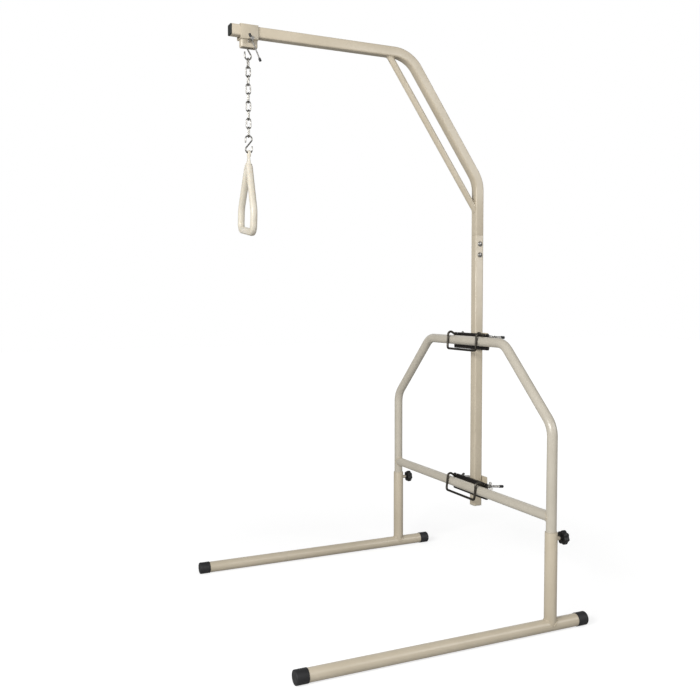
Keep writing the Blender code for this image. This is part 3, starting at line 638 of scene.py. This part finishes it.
low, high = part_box("mast_lower")
square_tube("mast_lower_length", "mast_lower", [(MAST.y, low.z), (MAST.y, high.z)])
low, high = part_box("mast_upper")
square_tube("mast_upper_length_and_boom", "mast_upper",
            [(MAST.y, low.z), (MAST.y, MAST_BEND_Z), (BOOM_BEND_Y, BOOM_Z), (low.y, BOOM_Z)], [BEND_R] * 2)
low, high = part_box("mast_insert")
square_tube("joint_insert", "mast_insert", [(MAST.y, low.z), (MAST.y, high.z)], (), high.x - low.x, 0.003,
            zinc_plate)

# %% [markdown]
# ## Joint bolts and plugs
# Two domed bolts cross the joint, with hexagon nuts on the far side. A dome is turned: a disc is
# pushed along its axis and resized at every step. A plug closes each open end: it is pushed in by its
# shank, and its head sits flush with the tube with a softly rounded rim.

# %% Bolts
BOLT_R, HEAD_R = 0.004, 0.00875
NUT_R, NUT_HIGH = 0.0075, 0.0065
DOME = ((0.0, 0.97), (0.06, 1.0), (0.22, 0.99), (0.42, 0.93), (0.6, 0.83), (0.76, 0.68), (0.88, 0.50),
        (0.96, 0.30), (1.0, 0.10))


def turned(rows, place, direction, sides):
    """A turned solid: rows of (distance, radius) along the direction, closed at both ends."""
    place, axis = Vector(place), Vector(direction).normalized()
    start_ring(rows[0][1], place + axis * rows[0][0], axis, sides)
    bpy.ops.mesh.edge_face_add()
    for (before, old), (now, new) in zip(rows, rows[1:]):
        extrude(axis * (now - before))
        centre = place + axis * now
        reshape(lambda co: centre + (co - centre) * (new / old))
    return to_object()


seat, far = MAST.x + TUBE / 2 + GAP, MAST.x - TUBE / 2 - GAP
for n in (1, 2):
    node = f"mast_joint_bolt_{n}"
    low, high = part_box(node)
    axis_z = (low.z + high.z) / 2
    dome = [((high.x - seat) * share, HEAD_R * wide) for share, wide in DOME]
    bolt = turned(dome, (seat, MAST.y, axis_z), X, 48)
    inside = seat + 0.001
    combine(bolt, cylinder(BOLT_R, inside - low.x, ((low.x + inside) / 2, MAST.y, axis_z), X, 32), "UNION")
    nut = cylinder(NUT_R, NUT_HIGH, (far - NUT_HIGH / 2, MAST.y, axis_z), X, 6)
    round_edges(nut, 0.0006, 2, 30)
    combine(bolt, nut, "UNION")
    finish(bolt, f"joint_bolt_{n}", "mast", zinc_plate, [node])

# %% Plugs
PLUG_HEAD, PLUG_RIM = 0.0035, 0.0017
SHANK, SHANK_SLACK, SHANK_IN = 0.0135, 0.0052, 0.001


def block(place, direction, width, height, corner, length):
    """A bar with a rounded rectangle for its section."""
    start_plate(place, direction, width, height, corner)
    extrude(direction * length)
    return to_object()


def end_plug(name, node, outward, material):
    """A square plug: rounded head outside, shank inside."""
    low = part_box(node)[0]
    tip = Vector((MAST.x, low.y, BOOM_Z)) if outward.y else Vector((MAST.x, MAST.y, low.z))
    start_plate(tip - outward * PLUG_HEAD, outward, TUBE, TUBE, CORNER)
    extrude(outward * PLUG_HEAD)
    round_rim(lambda co: (co - tip).dot(outward) > -CLOSE, PLUG_RIM, 4)
    plug = to_object()
    inner = TUBE - SHANK_SLACK
    combine(plug, block(tip - outward * (PLUG_HEAD + SHANK), outward, inner, inner, 0.003, SHANK + SHANK_IN),
            "UNION")
    finish(plug, name, "mast", material, [node])


end_plug("mast_foot_plug", "mast_end_plug", -Z, plug_pale)
end_plug("boom_nose_plug", "boom_end_plug", -Y, plug_black)

# %% [markdown]
# ## The brace
# A round tube props the boom from the mast. It runs parallel to the slant, and both ends are sawn
# along the flats they meet, so the tube is made too long and two blocks cut it off. A small vent hole
# near its top lets gas out when the ends are welded shut, and a bead runs round each end.

# %% Brace
BRACE_R, BRACE_WALL, BRACE_BELOW, OVERLONG = 0.0104, 0.0015, 0.0641, 0.04
VENT_R, VENT_BACK, VENT_BELOW, SAW = 0.0022, 0.0107, 0.013, 0.1
BRACE_BEAD, BEAD_OFF, BEAD_IN = 0.0016, 0.0004, 0.0007
run = Vector((0, BOOM_BEND_Y - MAST.y, BOOM_Z - MAST_BEND_Z)).normalized()
below = Vector((0, -run.z, run.y))
brace_at = Vector((MAST.x, MAST.y, MAST_BEND_Z)) + below * BRACE_BELOW
front_face = MAST.y - TUBE / 2 - GAP
under_face = BOOM_Z - TUBE / 2 - GAP
brace_foot = brace_at + run * ((front_face - brace_at.y) / run.y)
brace_head = brace_at + run * ((under_face - brace_at.z) / run.z)
brace = round_tube(BRACE_R, [brace_foot - run * OVERLONG, brace_head + run * OVERLONG], BRACE_WALL)
for place in ((MAST.x, front_face + SAW / 2, brace_foot.z), (MAST.x, brace_head.y, under_face + SAW / 2)):
    rest()
    bpy.ops.mesh.primitive_cube_add(size=SAW, location=place)
    combine(brace, bpy.context.object)
combine(brace, cylinder(VENT_R, 0.02, brace_head - run * VENT_BACK + below * VENT_BELOW, below, 24))
finish(brace, "boom_brace", "mast", beige, ["brace"])
skin = [brace_at + (X * c + below * s) * (BRACE_R + BEAD_OFF) for c, s in around(72)]
for label, end, square_to in (("foot", brace_foot, Y), ("head", brace_head, Z)):
    at = end - square_to * BEAD_IN
    ring = [p + run * ((at - p).dot(square_to) / run.dot(square_to)) for p in skin]
    weld_bead("weld_brace_" + label, "mast", ring, BRACE_BEAD)

# %% [markdown]
# ## Screw threads
# Every screw on the stand has the same coarse thread, 1.25 mm from crest to crest. A flat grid is
# rolled into a tube, and each vertex is set in or out by where it lies on the helix, so the crests
# really climb and catch the light.

# %% Threads
PITCH, GROOVE, RUN_OUT = 0.00125, 0.00055, 0.0004
ROUND, PER_PITCH = 24, 6


def threaded(start, axis, length, radius):
    rest()
    bpy.ops.mesh.primitive_grid_add(x_subdivisions=ROUND, y_subdivisions=int(length / PITCH * PER_PITCH),
                                    size=1)
    axis = Vector(axis).normalized()
    side = axis.orthogonal().normalized()
    other = axis.cross(side)
    start = Vector(start)
    for vertex in bpy.context.object.data.vertices:
        turn = (vertex.co.x + 0.5) * 2 * pi
        along = (vertex.co.y + 0.5) * length
        phase = (along / PITCH - turn / (2 * pi)) % 1.0
        groove = max(0.0, 1 - abs(phase - 0.5) * 3.0)
        fade = min(1.0, (length - along) / PITCH, along / PITCH)
        r = radius - GROOVE * groove * fade - RUN_OUT * (1 - fade)
        vertex.co = start + axis * along + (side * cos(turn) + other * sin(turn)) * r
    bpy.ops.object.mode_set(mode="EDIT")
    return closed_object()


# %% [markdown]
# ## Star knobs
# A knob behind each sleeve presses its screw on the upright. It is moulded nylon with seven shallow
# lobes for the fingers. A plain disc has its front inset and drawn out as the hub, both rims are
# rounded by a bevel, and then the rim is pushed in and out seven times round.

# %% Knobs
KNOB_R, LOBES, LOBE_HIGH = 0.0203, 7, 0.0016
LOBE_FROM, LOBE_FULL = 0.0125, 0.005
HUB_IN, HUB_HIGH = 0.0100, 0.0035
FRONT_RIM, BACK_RIM = 0.0042, 0.0050
DISH_IN, DISH_DEEP = 0.0045, 0.0008
for which, side in SIDES:
    body, x = f"knob_{which}_body", side * LEG_X
    low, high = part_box("knob_" + which)
    face = low.y + HUB_HIGH
    cylinder(KNOB_R, high.y - face, (x, (face + high.y) / 2, KNOB_Z), Y, 140)
    edit_all()
    select_where(lambda co: co.y < face + CLOSE)
    bpy.ops.mesh.inset(thickness=HUB_IN)
    extrude(Y * -HUB_HIGH)
    round_rim(lambda co: abs(co.y - face) < CLOSE and Vector((co.x - x, co.z - KNOB_Z)).length > 0.018,
              FRONT_RIM, 5)
    round_rim(lambda co: co.y > high.y - CLOSE, BACK_RIM, 6)
    select_where(lambda co: co.y > high.y - CLOSE)
    bpy.ops.mesh.inset(thickness=DISH_IN)
    extrude(Y * -DISH_DEEP)
    knob = to_object()
    for vertex in knob.data.vertices:
        dx, dz = vertex.co.x - x, vertex.co.z - KNOB_Z
        r = (dx * dx + dz * dz) ** 0.5
        if r > LOBE_FROM:
            share = min(1.0, (r - LOBE_FROM) / LOBE_FULL)
            push = 1 + share * LOBE_HIGH / KNOB_R * cos(LOBES * atan2(dx, dz))
            vertex.co.x, vertex.co.z = x + dx * push, KNOB_Z + dz * push
    combine(knob, cylinder(SCREW_R + CUT_GAP, 0.012, (x, low.y + 0.004, KNOB_Z), Y, 32))
    finish(knob, "star_knob_" + which, body, knob_black, ["knob_" + which], 50)
    low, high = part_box("knob_screw_" + which)
    screw = threaded((x, low.y, KNOB_Z), Y, high.y - low.y, SCREW_R)
    finish(screw, "knob_thread_" + which, body, zinc_plate, ["knob_screw_" + which], 30)

# %% [markdown]
# ## Clamp jaws and plates
# Two clamps of the same kind hold the mast on the arch. A long black jaw lies against the bar, a
# steel plate backs it against the mast's front, and a shorter plate behind the mast takes two bolts.
# Jaw and backing plate have a notch near each end, open upwards, for the arm of the rod.

# %% Jaws and plates
ROD_X, ROD_UP, ROD_R = 0.0895, 0.0165, 0.004
NOTCH_R, NOTCH_HIGH = ROD_R + 0.0006, 0.05
GROOVE_R, GROOVE_IN, GROOVE_SHORT = 0.0011, 0.0075, 0.008
STRAP_HEAD_R, STRAP_HEAD, STRAP_R = 0.0058, 0.004, 0.003
# Solid, piece, corner, edge and its steps, material and slot.
PLATES = (("jaw_", "clamp_jaw_", 0.004, 0.0007, 2, jaw_black, "jaw_plastic"),
          ("clamp_plate_", "clamp_backing_", 0.004, 0.0004, 2, beige_pressed, "beige_paint"),
          ("rear_plate_", "rear_strap_", 0.003, 0.0005, 3, beige_pressed, "beige_paint"))
clamp_frame = {label: Matrix.Translation((MAST.x, ARCH_Y, bar_z)) @ Matrix.Rotation(radians(-lean), 4, "X")
               for label, bar_z, lean in (("upper", ARCH_TOP_Z, 3), ("lower", CROSS_Z, 6))}


def notch(piece, label):
    place = clamp_frame[label]
    along = (place.to_3x3() @ Y).normalized()
    for side in (1, -1):
        start = place @ Vector((side * ROD_X, 0.008, ROD_UP - NOTCH_R + NOTCH_HIGH / 2))
        combine(piece, block(start, along, 2 * NOTCH_R, NOTCH_HIGH, NOTCH_R * 0.97, 0.03))


for label in CLAMPS:
    for node, name, corner, edge, segments, material, slot in PLATES:
        low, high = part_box(node + label)
        x, wide = (low.x + high.x) / 2, high.x - low.x
        plate = block((x, low.y, (low.z + high.z) / 2), Y, wide, high.z - low.z, corner, high.y - low.y)
        if node != "rear_plate_":
            notch(plate, label)
        if node == "jaw_":
            for z in (low.z + GROOVE_IN, high.z - GROOVE_IN):
                combine(plate, cylinder(GROOVE_R, wide - GROOVE_SHORT, (x, low.y - 0.0002, z), X, 12))
        round_edges(plate, edge, segments, 50)
        finish(plate, name + label, "mast", material, [node + label])
    for which, side in SIDES:
        node = f"clamp_bolt_{label}_{which}"
        low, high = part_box(node)
        x, z, end = (low.x + high.x) / 2, (low.z + high.z) / 2, high.y - STRAP_HEAD / 2
        head = cylinder(STRAP_HEAD_R, STRAP_HEAD, (x, end, z), Y, 6)
        round_edges(head, 0.0005, 2, 30)
        combine(head, cylinder(STRAP_R, end - low.y, (x, (low.y + end) / 2, z), Y, 24), "UNION")
        finish(head, f"strap_bolt_{label}_{which}", "mast", zinc_plate, [node])

# %% [markdown]
# ## Clamp rods
# One bent rod hooks over the bar: from its tip an arm runs forward through the jaw's notch, bends
# up over the bar, turns down its front, crosses under it and comes back up the other side. The bent
# part is dark steel, the threaded ends are bright, and a black cap covers each tip.

# %% Rods
THREAD_FROM, ROD_END = 0.0190, 0.0920
TIP, TIP_SKIN, TIP_WALL, TIP_ROUND = 0.014, 0.0014, 0.0009, 0.0016
ROD_SIDE = ((0.0200, ROD_UP), (0.0126, ROD_UP), (-0.020175, 0.0358), (-0.020175, -0.0318))
ROD_BENDS = (0.010, 0.0107, 0.009, 0.009, 0.0107, 0.010)


def tip_cap(end, axis, sign, radius, length, rim, skin, bore, bore_long, bore_sides=32):
    """A cap, rounded at its outer end and bored from its mouth; it points along the axis by sign."""
    outward = axis * sign
    cylinder(radius, length, end - outward * length / 2, axis, 32)
    edit_all()
    round_rim(lambda co: (co - end).dot(outward) > -CLOSE, rim, 4)
    cap = to_object()
    combine(cap, cylinder(bore, bore_long, end - outward * (skin + bore_long / 2), axis, bore_sides))
    return cap


for label in CLAMPS:
    body, place = "rod_" + label, clamp_frame[label]
    points = [(-ROD_X, y, z) for y, z in ROD_SIDE] + [(ROD_X, y, z) for y, z in ROD_SIDE[::-1]]
    points = [place @ Vector(p) for p in points]
    start_ring(ROD_R, points[0], points[1] - points[0], 24)
    follow(points, ROD_BENDS, 10)
    finish(to_object(), "bent_rod_" + label, body, rod_steel, ["clamp_rod_" + label])
    along = (place.to_3x3() @ Y).normalized()
    for which, side in SIDES:
        start = place @ Vector((side * ROD_X, THREAD_FROM, ROD_UP))
        thread = threaded(start, along, ROD_END - THREAD_FROM, ROD_R)
        finish(thread, f"rod_thread_{label}_{which}", body, zinc_plate, angle=30)
        end = place @ Vector((side * ROD_X, ROD_END + TIP_SKIN, ROD_UP))
        cap = tip_cap(end, along, 1, ROD_R + TIP_WALL, TIP + TIP_SKIN, TIP_ROUND, TIP_SKIN, ROD_R + 0.0001,
                      TIP + 0.0002)
        finish(cap, f"rod_tip_{label}_{which}", body, vinyl_black,
               [f"rod_cap_{label}_{which}"])

# %% [markdown]
# ## Wing nuts
# A wing nut is one casting: a tapered hub with two ears. Hub, ears and webs are joined, remade as an
# even skin of half-millimetre voxels and smoothed, which rounds every inner corner the way molten
# zinc does. The bore is drilled last. The four nuts are copies of one, each turned on its rod.

# %% Wing nuts
HUB_BIG, HUB_SMALL, HUB_LONG = 0.0068, 0.0050, 0.016
EAR_R, EAR_THICK, WEB_THICK, WEB_WIDE = 0.0054, 0.0028, 0.0033, 0.0080
NUT_AT = 0.0262
TURNS = {"upper": (75, -20), "lower": (-26, 25)}


def copy_of(piece, matrix):
    """A copy with its own mesh, moved in the mesh and not by its object."""
    made = piece.copy()
    made.data = piece.data.copy()
    made.data.transform(matrix)
    bpy.context.scene.collection.objects.link(made)
    return made


rest()
bpy.ops.mesh.primitive_cone_add(vertices=40, radius1=HUB_BIG, radius2=HUB_SMALL, depth=HUB_LONG,
                                location=(0, HUB_LONG / 2, 0), rotation=facing(Y))
wing_nut = bpy.context.object
bpy.ops.object.transform_apply()
for side in (1, -1):
    tip, root = Vector((0, 0.0170, side * 0.0100)), Vector((0, 0.0110, side * 0.0030))
    combine(wing_nut, cylinder(EAR_R, EAR_THICK, tip, X, 32), "UNION")
    rest()
    bpy.ops.mesh.primitive_cube_add(size=1, location=(tip + root) / 2, rotation=facing(tip - root))
    web = bpy.context.object
    web.scale = (WEB_THICK, WEB_WIDE, (tip - root).length)
    bpy.ops.object.transform_apply()
    combine(wing_nut, web, "UNION")
apply_modifier(wing_nut, "REMESH", mode="VOXEL", voxel_size=0.00045, use_smooth_shade=True)
apply_modifier(wing_nut, "SMOOTH", factor=0.5, iterations=6)
combine(wing_nut, cylinder(ROD_R + CUT_GAP, 0.04, (0, HUB_LONG / 2, 0), Y, 32))
for label in CLAMPS:
    for (which, side), turn in zip(SIDES, TURNS[label]):
        seat = clamp_frame[label] @ Matrix.Translation((side * ROD_X, NUT_AT, ROD_UP))
        made = copy_of(wing_nut, seat @ Matrix.Rotation(radians(turn), 4, "Y"))
        finish(made, f"cast_wing_nut_{label}_{which}", f"wing_{label}_{which}", zinc_plate,
               [f"wing_nut_{label}_{which}"])
bpy.data.objects.remove(wing_nut)

# %% [markdown]
# ## The trolley
# The chain hangs from a trolley that slides on the boom. A rectangular sleeve of folded steel goes
# round the tube, and a narrower cup is welded under it, with a slot in its floor for the hook. Both
# are grown from rounded rectangles. A round nut is welded on the far cheek for the cross screw.

# %% Trolley
low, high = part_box("trolley_bracket")
CHAIN = Vector((MAST.x, pivots["lock_screw_turn"].y, pivots["lock_screw_turn"].z))
SLEEVE_LOW, SLEEVE_WIDE, SLEEVE_LONG = BOOM_Z - 0.0253, 2 * 0.018475, 0.056
CUP_HALF, CUP_WALL, CUP_CORNER = 0.0125, 0.002, 0.006
CUP_FRONT, CUP_BACK, CUP_ROOT = 0.0245, 0.0280, 0.001
cup_y, cup_long = CHAIN.y + (CUP_BACK - CUP_FRONT) / 2, CUP_BACK + CUP_FRONT
start_plate((MAST.x, CHAIN.y - SLEEVE_LONG / 2, (SLEEVE_LOW + high.z) / 2), Y, SLEEVE_WIDE,
            high.z - SLEEVE_LOW, 0.003, filled=False)
extrude(Y * SLEEVE_LONG)
trolley = hollowed(CUP_WALL)
start_plate((MAST.x, cup_y, SLEEVE_LOW + CUP_ROOT), Z, 2 * CUP_HALF, cup_long, CUP_CORNER)
extrude(Z * (low.z - SLEEVE_LOW - CUP_ROOT))
round_rim(lambda co: co.z < low.z + CLOSE, 0.003, 5)
combine(trolley, to_object(), "UNION")
boss = cylinder(BOSS_R, 0.0075, (MAST.x - CUP_HALF - 0.00275, CHAIN.y, CHAIN.z), X)
round_edges(boss, 0.0007, 3)
combine(trolley, boss, "UNION")
combine(trolley, block((MAST.x, cup_y, low.z + CUP_WALL), Z, 2 * (CUP_HALF - CUP_WALL),
                       cup_long - 2 * CUP_WALL, 0.004, SLEEVE_LOW + 0.004 - low.z - CUP_WALL))
combine(trolley, cylinder(SCREW_R + GAP, 0.08, CHAIN, X, 32))
combine(trolley, block((MAST.x, cup_y, low.z - 0.005), Z, 0.009, 0.034, 0.0044, 0.01))
round_edges(trolley, 0.0004, 2, 50)
finish(trolley, "boom_trolley", "trolley", beige_pressed, ["trolley_bracket"])
cup_x, cup_half_long = CUP_HALF - CUP_CORNER, cup_long / 2 - CUP_CORNER
seam = [Vector((MAST.x + cup_x * (1 if c > 0 else -1) + CUP_CORNER * c,
                cup_y + cup_half_long * (1 if s > 0 else -1) + CUP_CORNER * s, SLEEVE_LOW))
        for c, s in around(72, 0.5)]
weld_bead("weld_trolley_cup", "trolley", seam, 0.0010)

# %% [markdown]
# ## Cross screw and its bar
# The screw goes through both cheeks of the cup. Outside it has a plain round head with a cross hole,
# and a thin bar slides in the hole, stopped by a small black cap at each end. In the picture the bar
# has slid down as far as it goes.

# %% Cross screw
SCREW_OUT, HEAD_OUT, BAR_OUT = 0.0240, 0.0215, 0.0365
TEE_HEAD_R, BAR_TILT = 0.006, radians(23.7)
BAR_R2, BAR_LONG, BAR_CAP, BAR_CAP_R = 0.002, 0.085, 0.010, 0.0038
low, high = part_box("t_screw")
screw = threaded((low.x, CHAIN.y, CHAIN.z), X, MAST.x + SCREW_OUT - low.x, SCREW_R)
head_in = MAST.x + HEAD_OUT
head = cylinder(TEE_HEAD_R, high.x - head_in, ((high.x + head_in) / 2, CHAIN.y, CHAIN.z), X, 48)
round_edges(head, 0.0010, 3)
combine(head, cylinder(0.0038, 0.001, (high.x, CHAIN.y, CHAIN.z), X))
bar_up = Vector((0, -sin(BAR_TILT), cos(BAR_TILT)))
bar_at = Vector((MAST.x + BAR_OUT, CHAIN.y, CHAIN.z))
combine(head, cylinder(BAR_R2 + GAP, 0.03, bar_at, bar_up, 32))
finish(head, "cross_screw_head", "lock_screw", zinc_plate, ["t_screw"])
finish(screw, "cross_screw_thread", "lock_screw", zinc_plate, angle=30)
bar_top = TEE_HEAD_R + GAP + BAR_CAP
bar_low = bar_top - BAR_LONG
sliding = cylinder(BAR_R2, BAR_LONG - 0.0024, bar_at + bar_up * (bar_top + bar_low) / 2, bar_up, 32)
finish(sliding, "sliding_bar", "lock_bar", zinc_plate, ["t_bar"])
for label, place, sign in (("upper", bar_top, 1), ("lower", bar_low, -1)):
    cap = tip_cap(bar_at + bar_up * place, bar_up, sign, BAR_CAP_R, BAR_CAP, 0.0014, 0.0012,
                  BAR_R2 + CUT_GAP, 0.0092, 24)
    finish(cap, "bar_cap_" + label, "lock_bar", vinyl_black, ["t_bar_cap_" + label])

# %% [markdown]
# ## Hooks and chain
# An S-hook is one wire bent round two pins, so its ring starts at one tip and is spun round two
# centres. A link is the same with two half turns, and the straight side carries the little swelling
# of the electric weld. Each element hangs in the bend of the one above it, turned a quarter turn.

# %% S-hooks
HOOK_R, HOOK_LOOP, TWIST = 0.00225, 0.0100, radians(-0.36)


def hanging(index):
    """The turn of one element: every other one is square to the boom."""
    turn = TWIST * index + (0 if index % 2 else pi / 2)
    return Matrix.Translation((MAST.x, CHAIN.y, 0)) @ Matrix.Rotation(turn, 4, "Z")


def s_hook(which, index, top, low, tips, mirror):
    """An S of wire between two heights, with its tips' straights and which way it opens."""
    r = HOOK_LOOP
    c1, c2 = top - HOOK_R - r, low + HOOK_R + r
    lean = asin(2 * r / (c1 - c2))
    start_ring(HOOK_R, (mirror * r, 0, c1 - tips[0]), Z, 20)
    extrude(Z * tips[0])
    spin(pi + lean, (0, 0, c1), -Y * mirror, 20)
    extrude(Vector((2 * mirror * r * cos(lean), 0, c2 - c1 + 2 * r * sin(lean))))
    spin(pi + lean, (0, 0, c2), Y * mirror, 20)
    extrude(Z * tips[1])
    hook = closed_object()
    round_edges(hook, 0.0007, 3, 60)
    hook.data.transform(hanging(index))
    finish(hook, "s_hook_" + which, "hook_" + which, chain_plate, [which + "_hook"])


# %% Chain
UPPER_HOOK, LOWER_HOOK = 0.0627, 0.0562
LINK_R, LINK_LOOP, LINK_LONG, LINKS = 0.0020, 0.0065, 0.0299, 9
WELD_HALF, WELD_SWELL = 0.004, 0.16
top = CHAIN.z + SCREW_R + GAP + 2 * HOOK_R
low = top - UPPER_HOOK
s_hook("upper", 0, top, low, (0.003, 0.013), 1)

start_ring(LINK_R, (LINK_LOOP, 0, LINK_LOOP - LINK_LONG), Z, 16)
for n in range(8):
    extrude(Z * (LINK_LONG - 2 * LINK_LOOP) / 8)
spin(pi, (0, 0, -LINK_LOOP), -Y, 14)
extrude(Z * (2 * LINK_LOOP - LINK_LONG))
spin(pi, (0, 0, LINK_LOOP - LINK_LONG), -Y, 14)
first_link = to_object()
for vertex in first_link.data.vertices:
    off = vertex.co.z + LINK_LONG / 2
    if vertex.co.x > 0 and abs(off) < WELD_HALF:
        swell = 1 + WELD_SWELL * cos(off / WELD_HALF * pi / 2)
        vertex.co.x = LINK_LOOP + (vertex.co.x - LINK_LOOP) * swell
        vertex.co.y *= swell
seat, wire = low + HOOK_R, HOOK_R
for n in range(1, LINKS + 1):
    link_top = seat + wire + GAP + LINK_R
    made = copy_of(first_link, hanging(n) @ Matrix.Translation((0, 0, link_top)))
    finish(made, f"welded_link_{n}", f"link_{n}", chain_plate, [f"chain_link_{n}"])
    seat, wire = link_top - LINK_LONG, LINK_R
bpy.data.objects.remove(first_link)
top = seat + wire + GAP + 2 * HOOK_R
low = top - LOWER_HOOK
s_hook("lower", LINKS + 1, top, low, (0.011, 0.011), -1)
print("chain ends at z", round(low, 4))

# %% [markdown]
# ## The handle
# The handle is one moulding: a tall ring, square at the foot and pointed at the top, with a flat eye
# for the hook. An oval section is pushed round the ring and closed on itself. A neck and a disc make
# the eye. Joined, they are remade as one even skin and smoothed, so the neck flows into the ring. The
# eye is drilled last, with a mouth that widens to both sides. In the picture the handle hangs eight
# degrees out of plumb.

# %% Handle
HALF, DEEP, THICK = 0.0800, 0.0110, 0.0104
EYE_R, DISC_R, DISC_THICK = 0.0050, 0.0112, 0.0086
EYE_TO_FOOT, SHOULDER_UP, EYE_TO_APEX = 0.2433, 0.0755, 0.0228
FOOT_BEND, SHOULDER_BEND, APEX_BEND = 0.022, 0.060, 0.0125
HANDLE_TILT = radians(8)
NECK = ((-0.18, 0.0165, 0.0098), (0.06, 0.0150, 0.0091), (0.16, 0.0140, 0.0080), (0.30, 0.0128, 0.0063),
        (0.55, 0.0118, 0.0047), (0.80, 0.0112, 0.0043), (1.00, 0.0112, 0.0043))
MOUTH = [(0.0, EYE_R), (0.0010, 0.0051), (0.0020, 0.0054), (0.0030, 0.0059), (0.0038, 0.0065),
         (0.0045, 0.0073), (0.0070, 0.0108)]


def section_point(a, b, half_a, half_b, power):
    """Move a point of a unit circle to a squared oval."""
    angle = atan2(b, a)
    c, s = cos(angle), sin(angle)
    return (half_a * abs(c) ** (2 / power) * (1 if c > 0 else -1),
            half_b * abs(s) ** (2 / power) * (1 if s > 0 else -1))


def ring_section(co):
    a, b = section_point(co.y, co.z - foot_z, THICK, DEEP, 2.5)
    return Vector((co.x, a, foot_z + b))


eye_z = low + 2 * HOOK_R + GAP - EYE_R
foot_z = eye_z - EYE_TO_FOOT + DEEP
shoulder_z = foot_z - DEEP + SHOULDER_UP
apex_z = eye_z - EYE_TO_APEX
corners = [(0, 0, foot_z), (HALF, 0, foot_z), (HALF, 0, shoulder_z), (0, 0, apex_z), (-HALF, 0, shoulder_z),
           (-HALF, 0, foot_z), (0, 0, foot_z)]
start_ring(1.0, corners[0], X)
reshape(ring_section)
follow(corners, (FOOT_BEND, SHOULDER_BEND, APEX_BEND, SHOULDER_BEND, FOOT_BEND), 12)
handle = to_object()

# %% Handle neck and eye
lean = Vector((HALF, apex_z - shoulder_z)).normalized()
half_turn = pi / 2 - asin(lean.x)
crown_z = apex_z - APEX_BEND * (1 / cos(half_turn) - 1)
neck = eye_z - crown_z
start_ring(1.0, (0, 0, crown_z + NECK[0][0] * neck), Z)
for n, (share, wide, thick) in enumerate(NECK):
    if n:
        extrude(Z * (share - NECK[n - 1][0]) * neck)
    reshape(lambda co: Vector((*section_point(co.x, co.y, wide, thick, 3.6), co.z)))
combine(handle, closed_object(), "UNION")
disc = cylinder(DISC_R, DISC_THICK, (0, 0, eye_z), Y, 64)
round_edges(disc, 0.0012, 3)
combine(handle, disc, "UNION")
apply_modifier(handle, "REMESH", mode="VOXEL", voxel_size=0.0010, use_smooth_shade=True)
apply_modifier(handle, "SMOOTH", factor=0.5, iterations=8)
flare = [(-y, r) for y, r in MOUTH[:0:-1]] + MOUTH
combine(handle, turned(flare, (0, 0, eye_z), Y, 56))
hook_seat = Matrix.Translation((0, 0, low + HOOK_R))
tilted = hook_seat @ Matrix.Rotation(HANDLE_TILT, 4, "Y") @ hook_seat.inverted()
handle.data.transform(hanging(LINKS + 2) @ tilted)
finish(handle, "moulded_handle", "grip", ivory_plastic, ["handle"], 50)
print("handle has", len(handle.data.polygons), "faces")
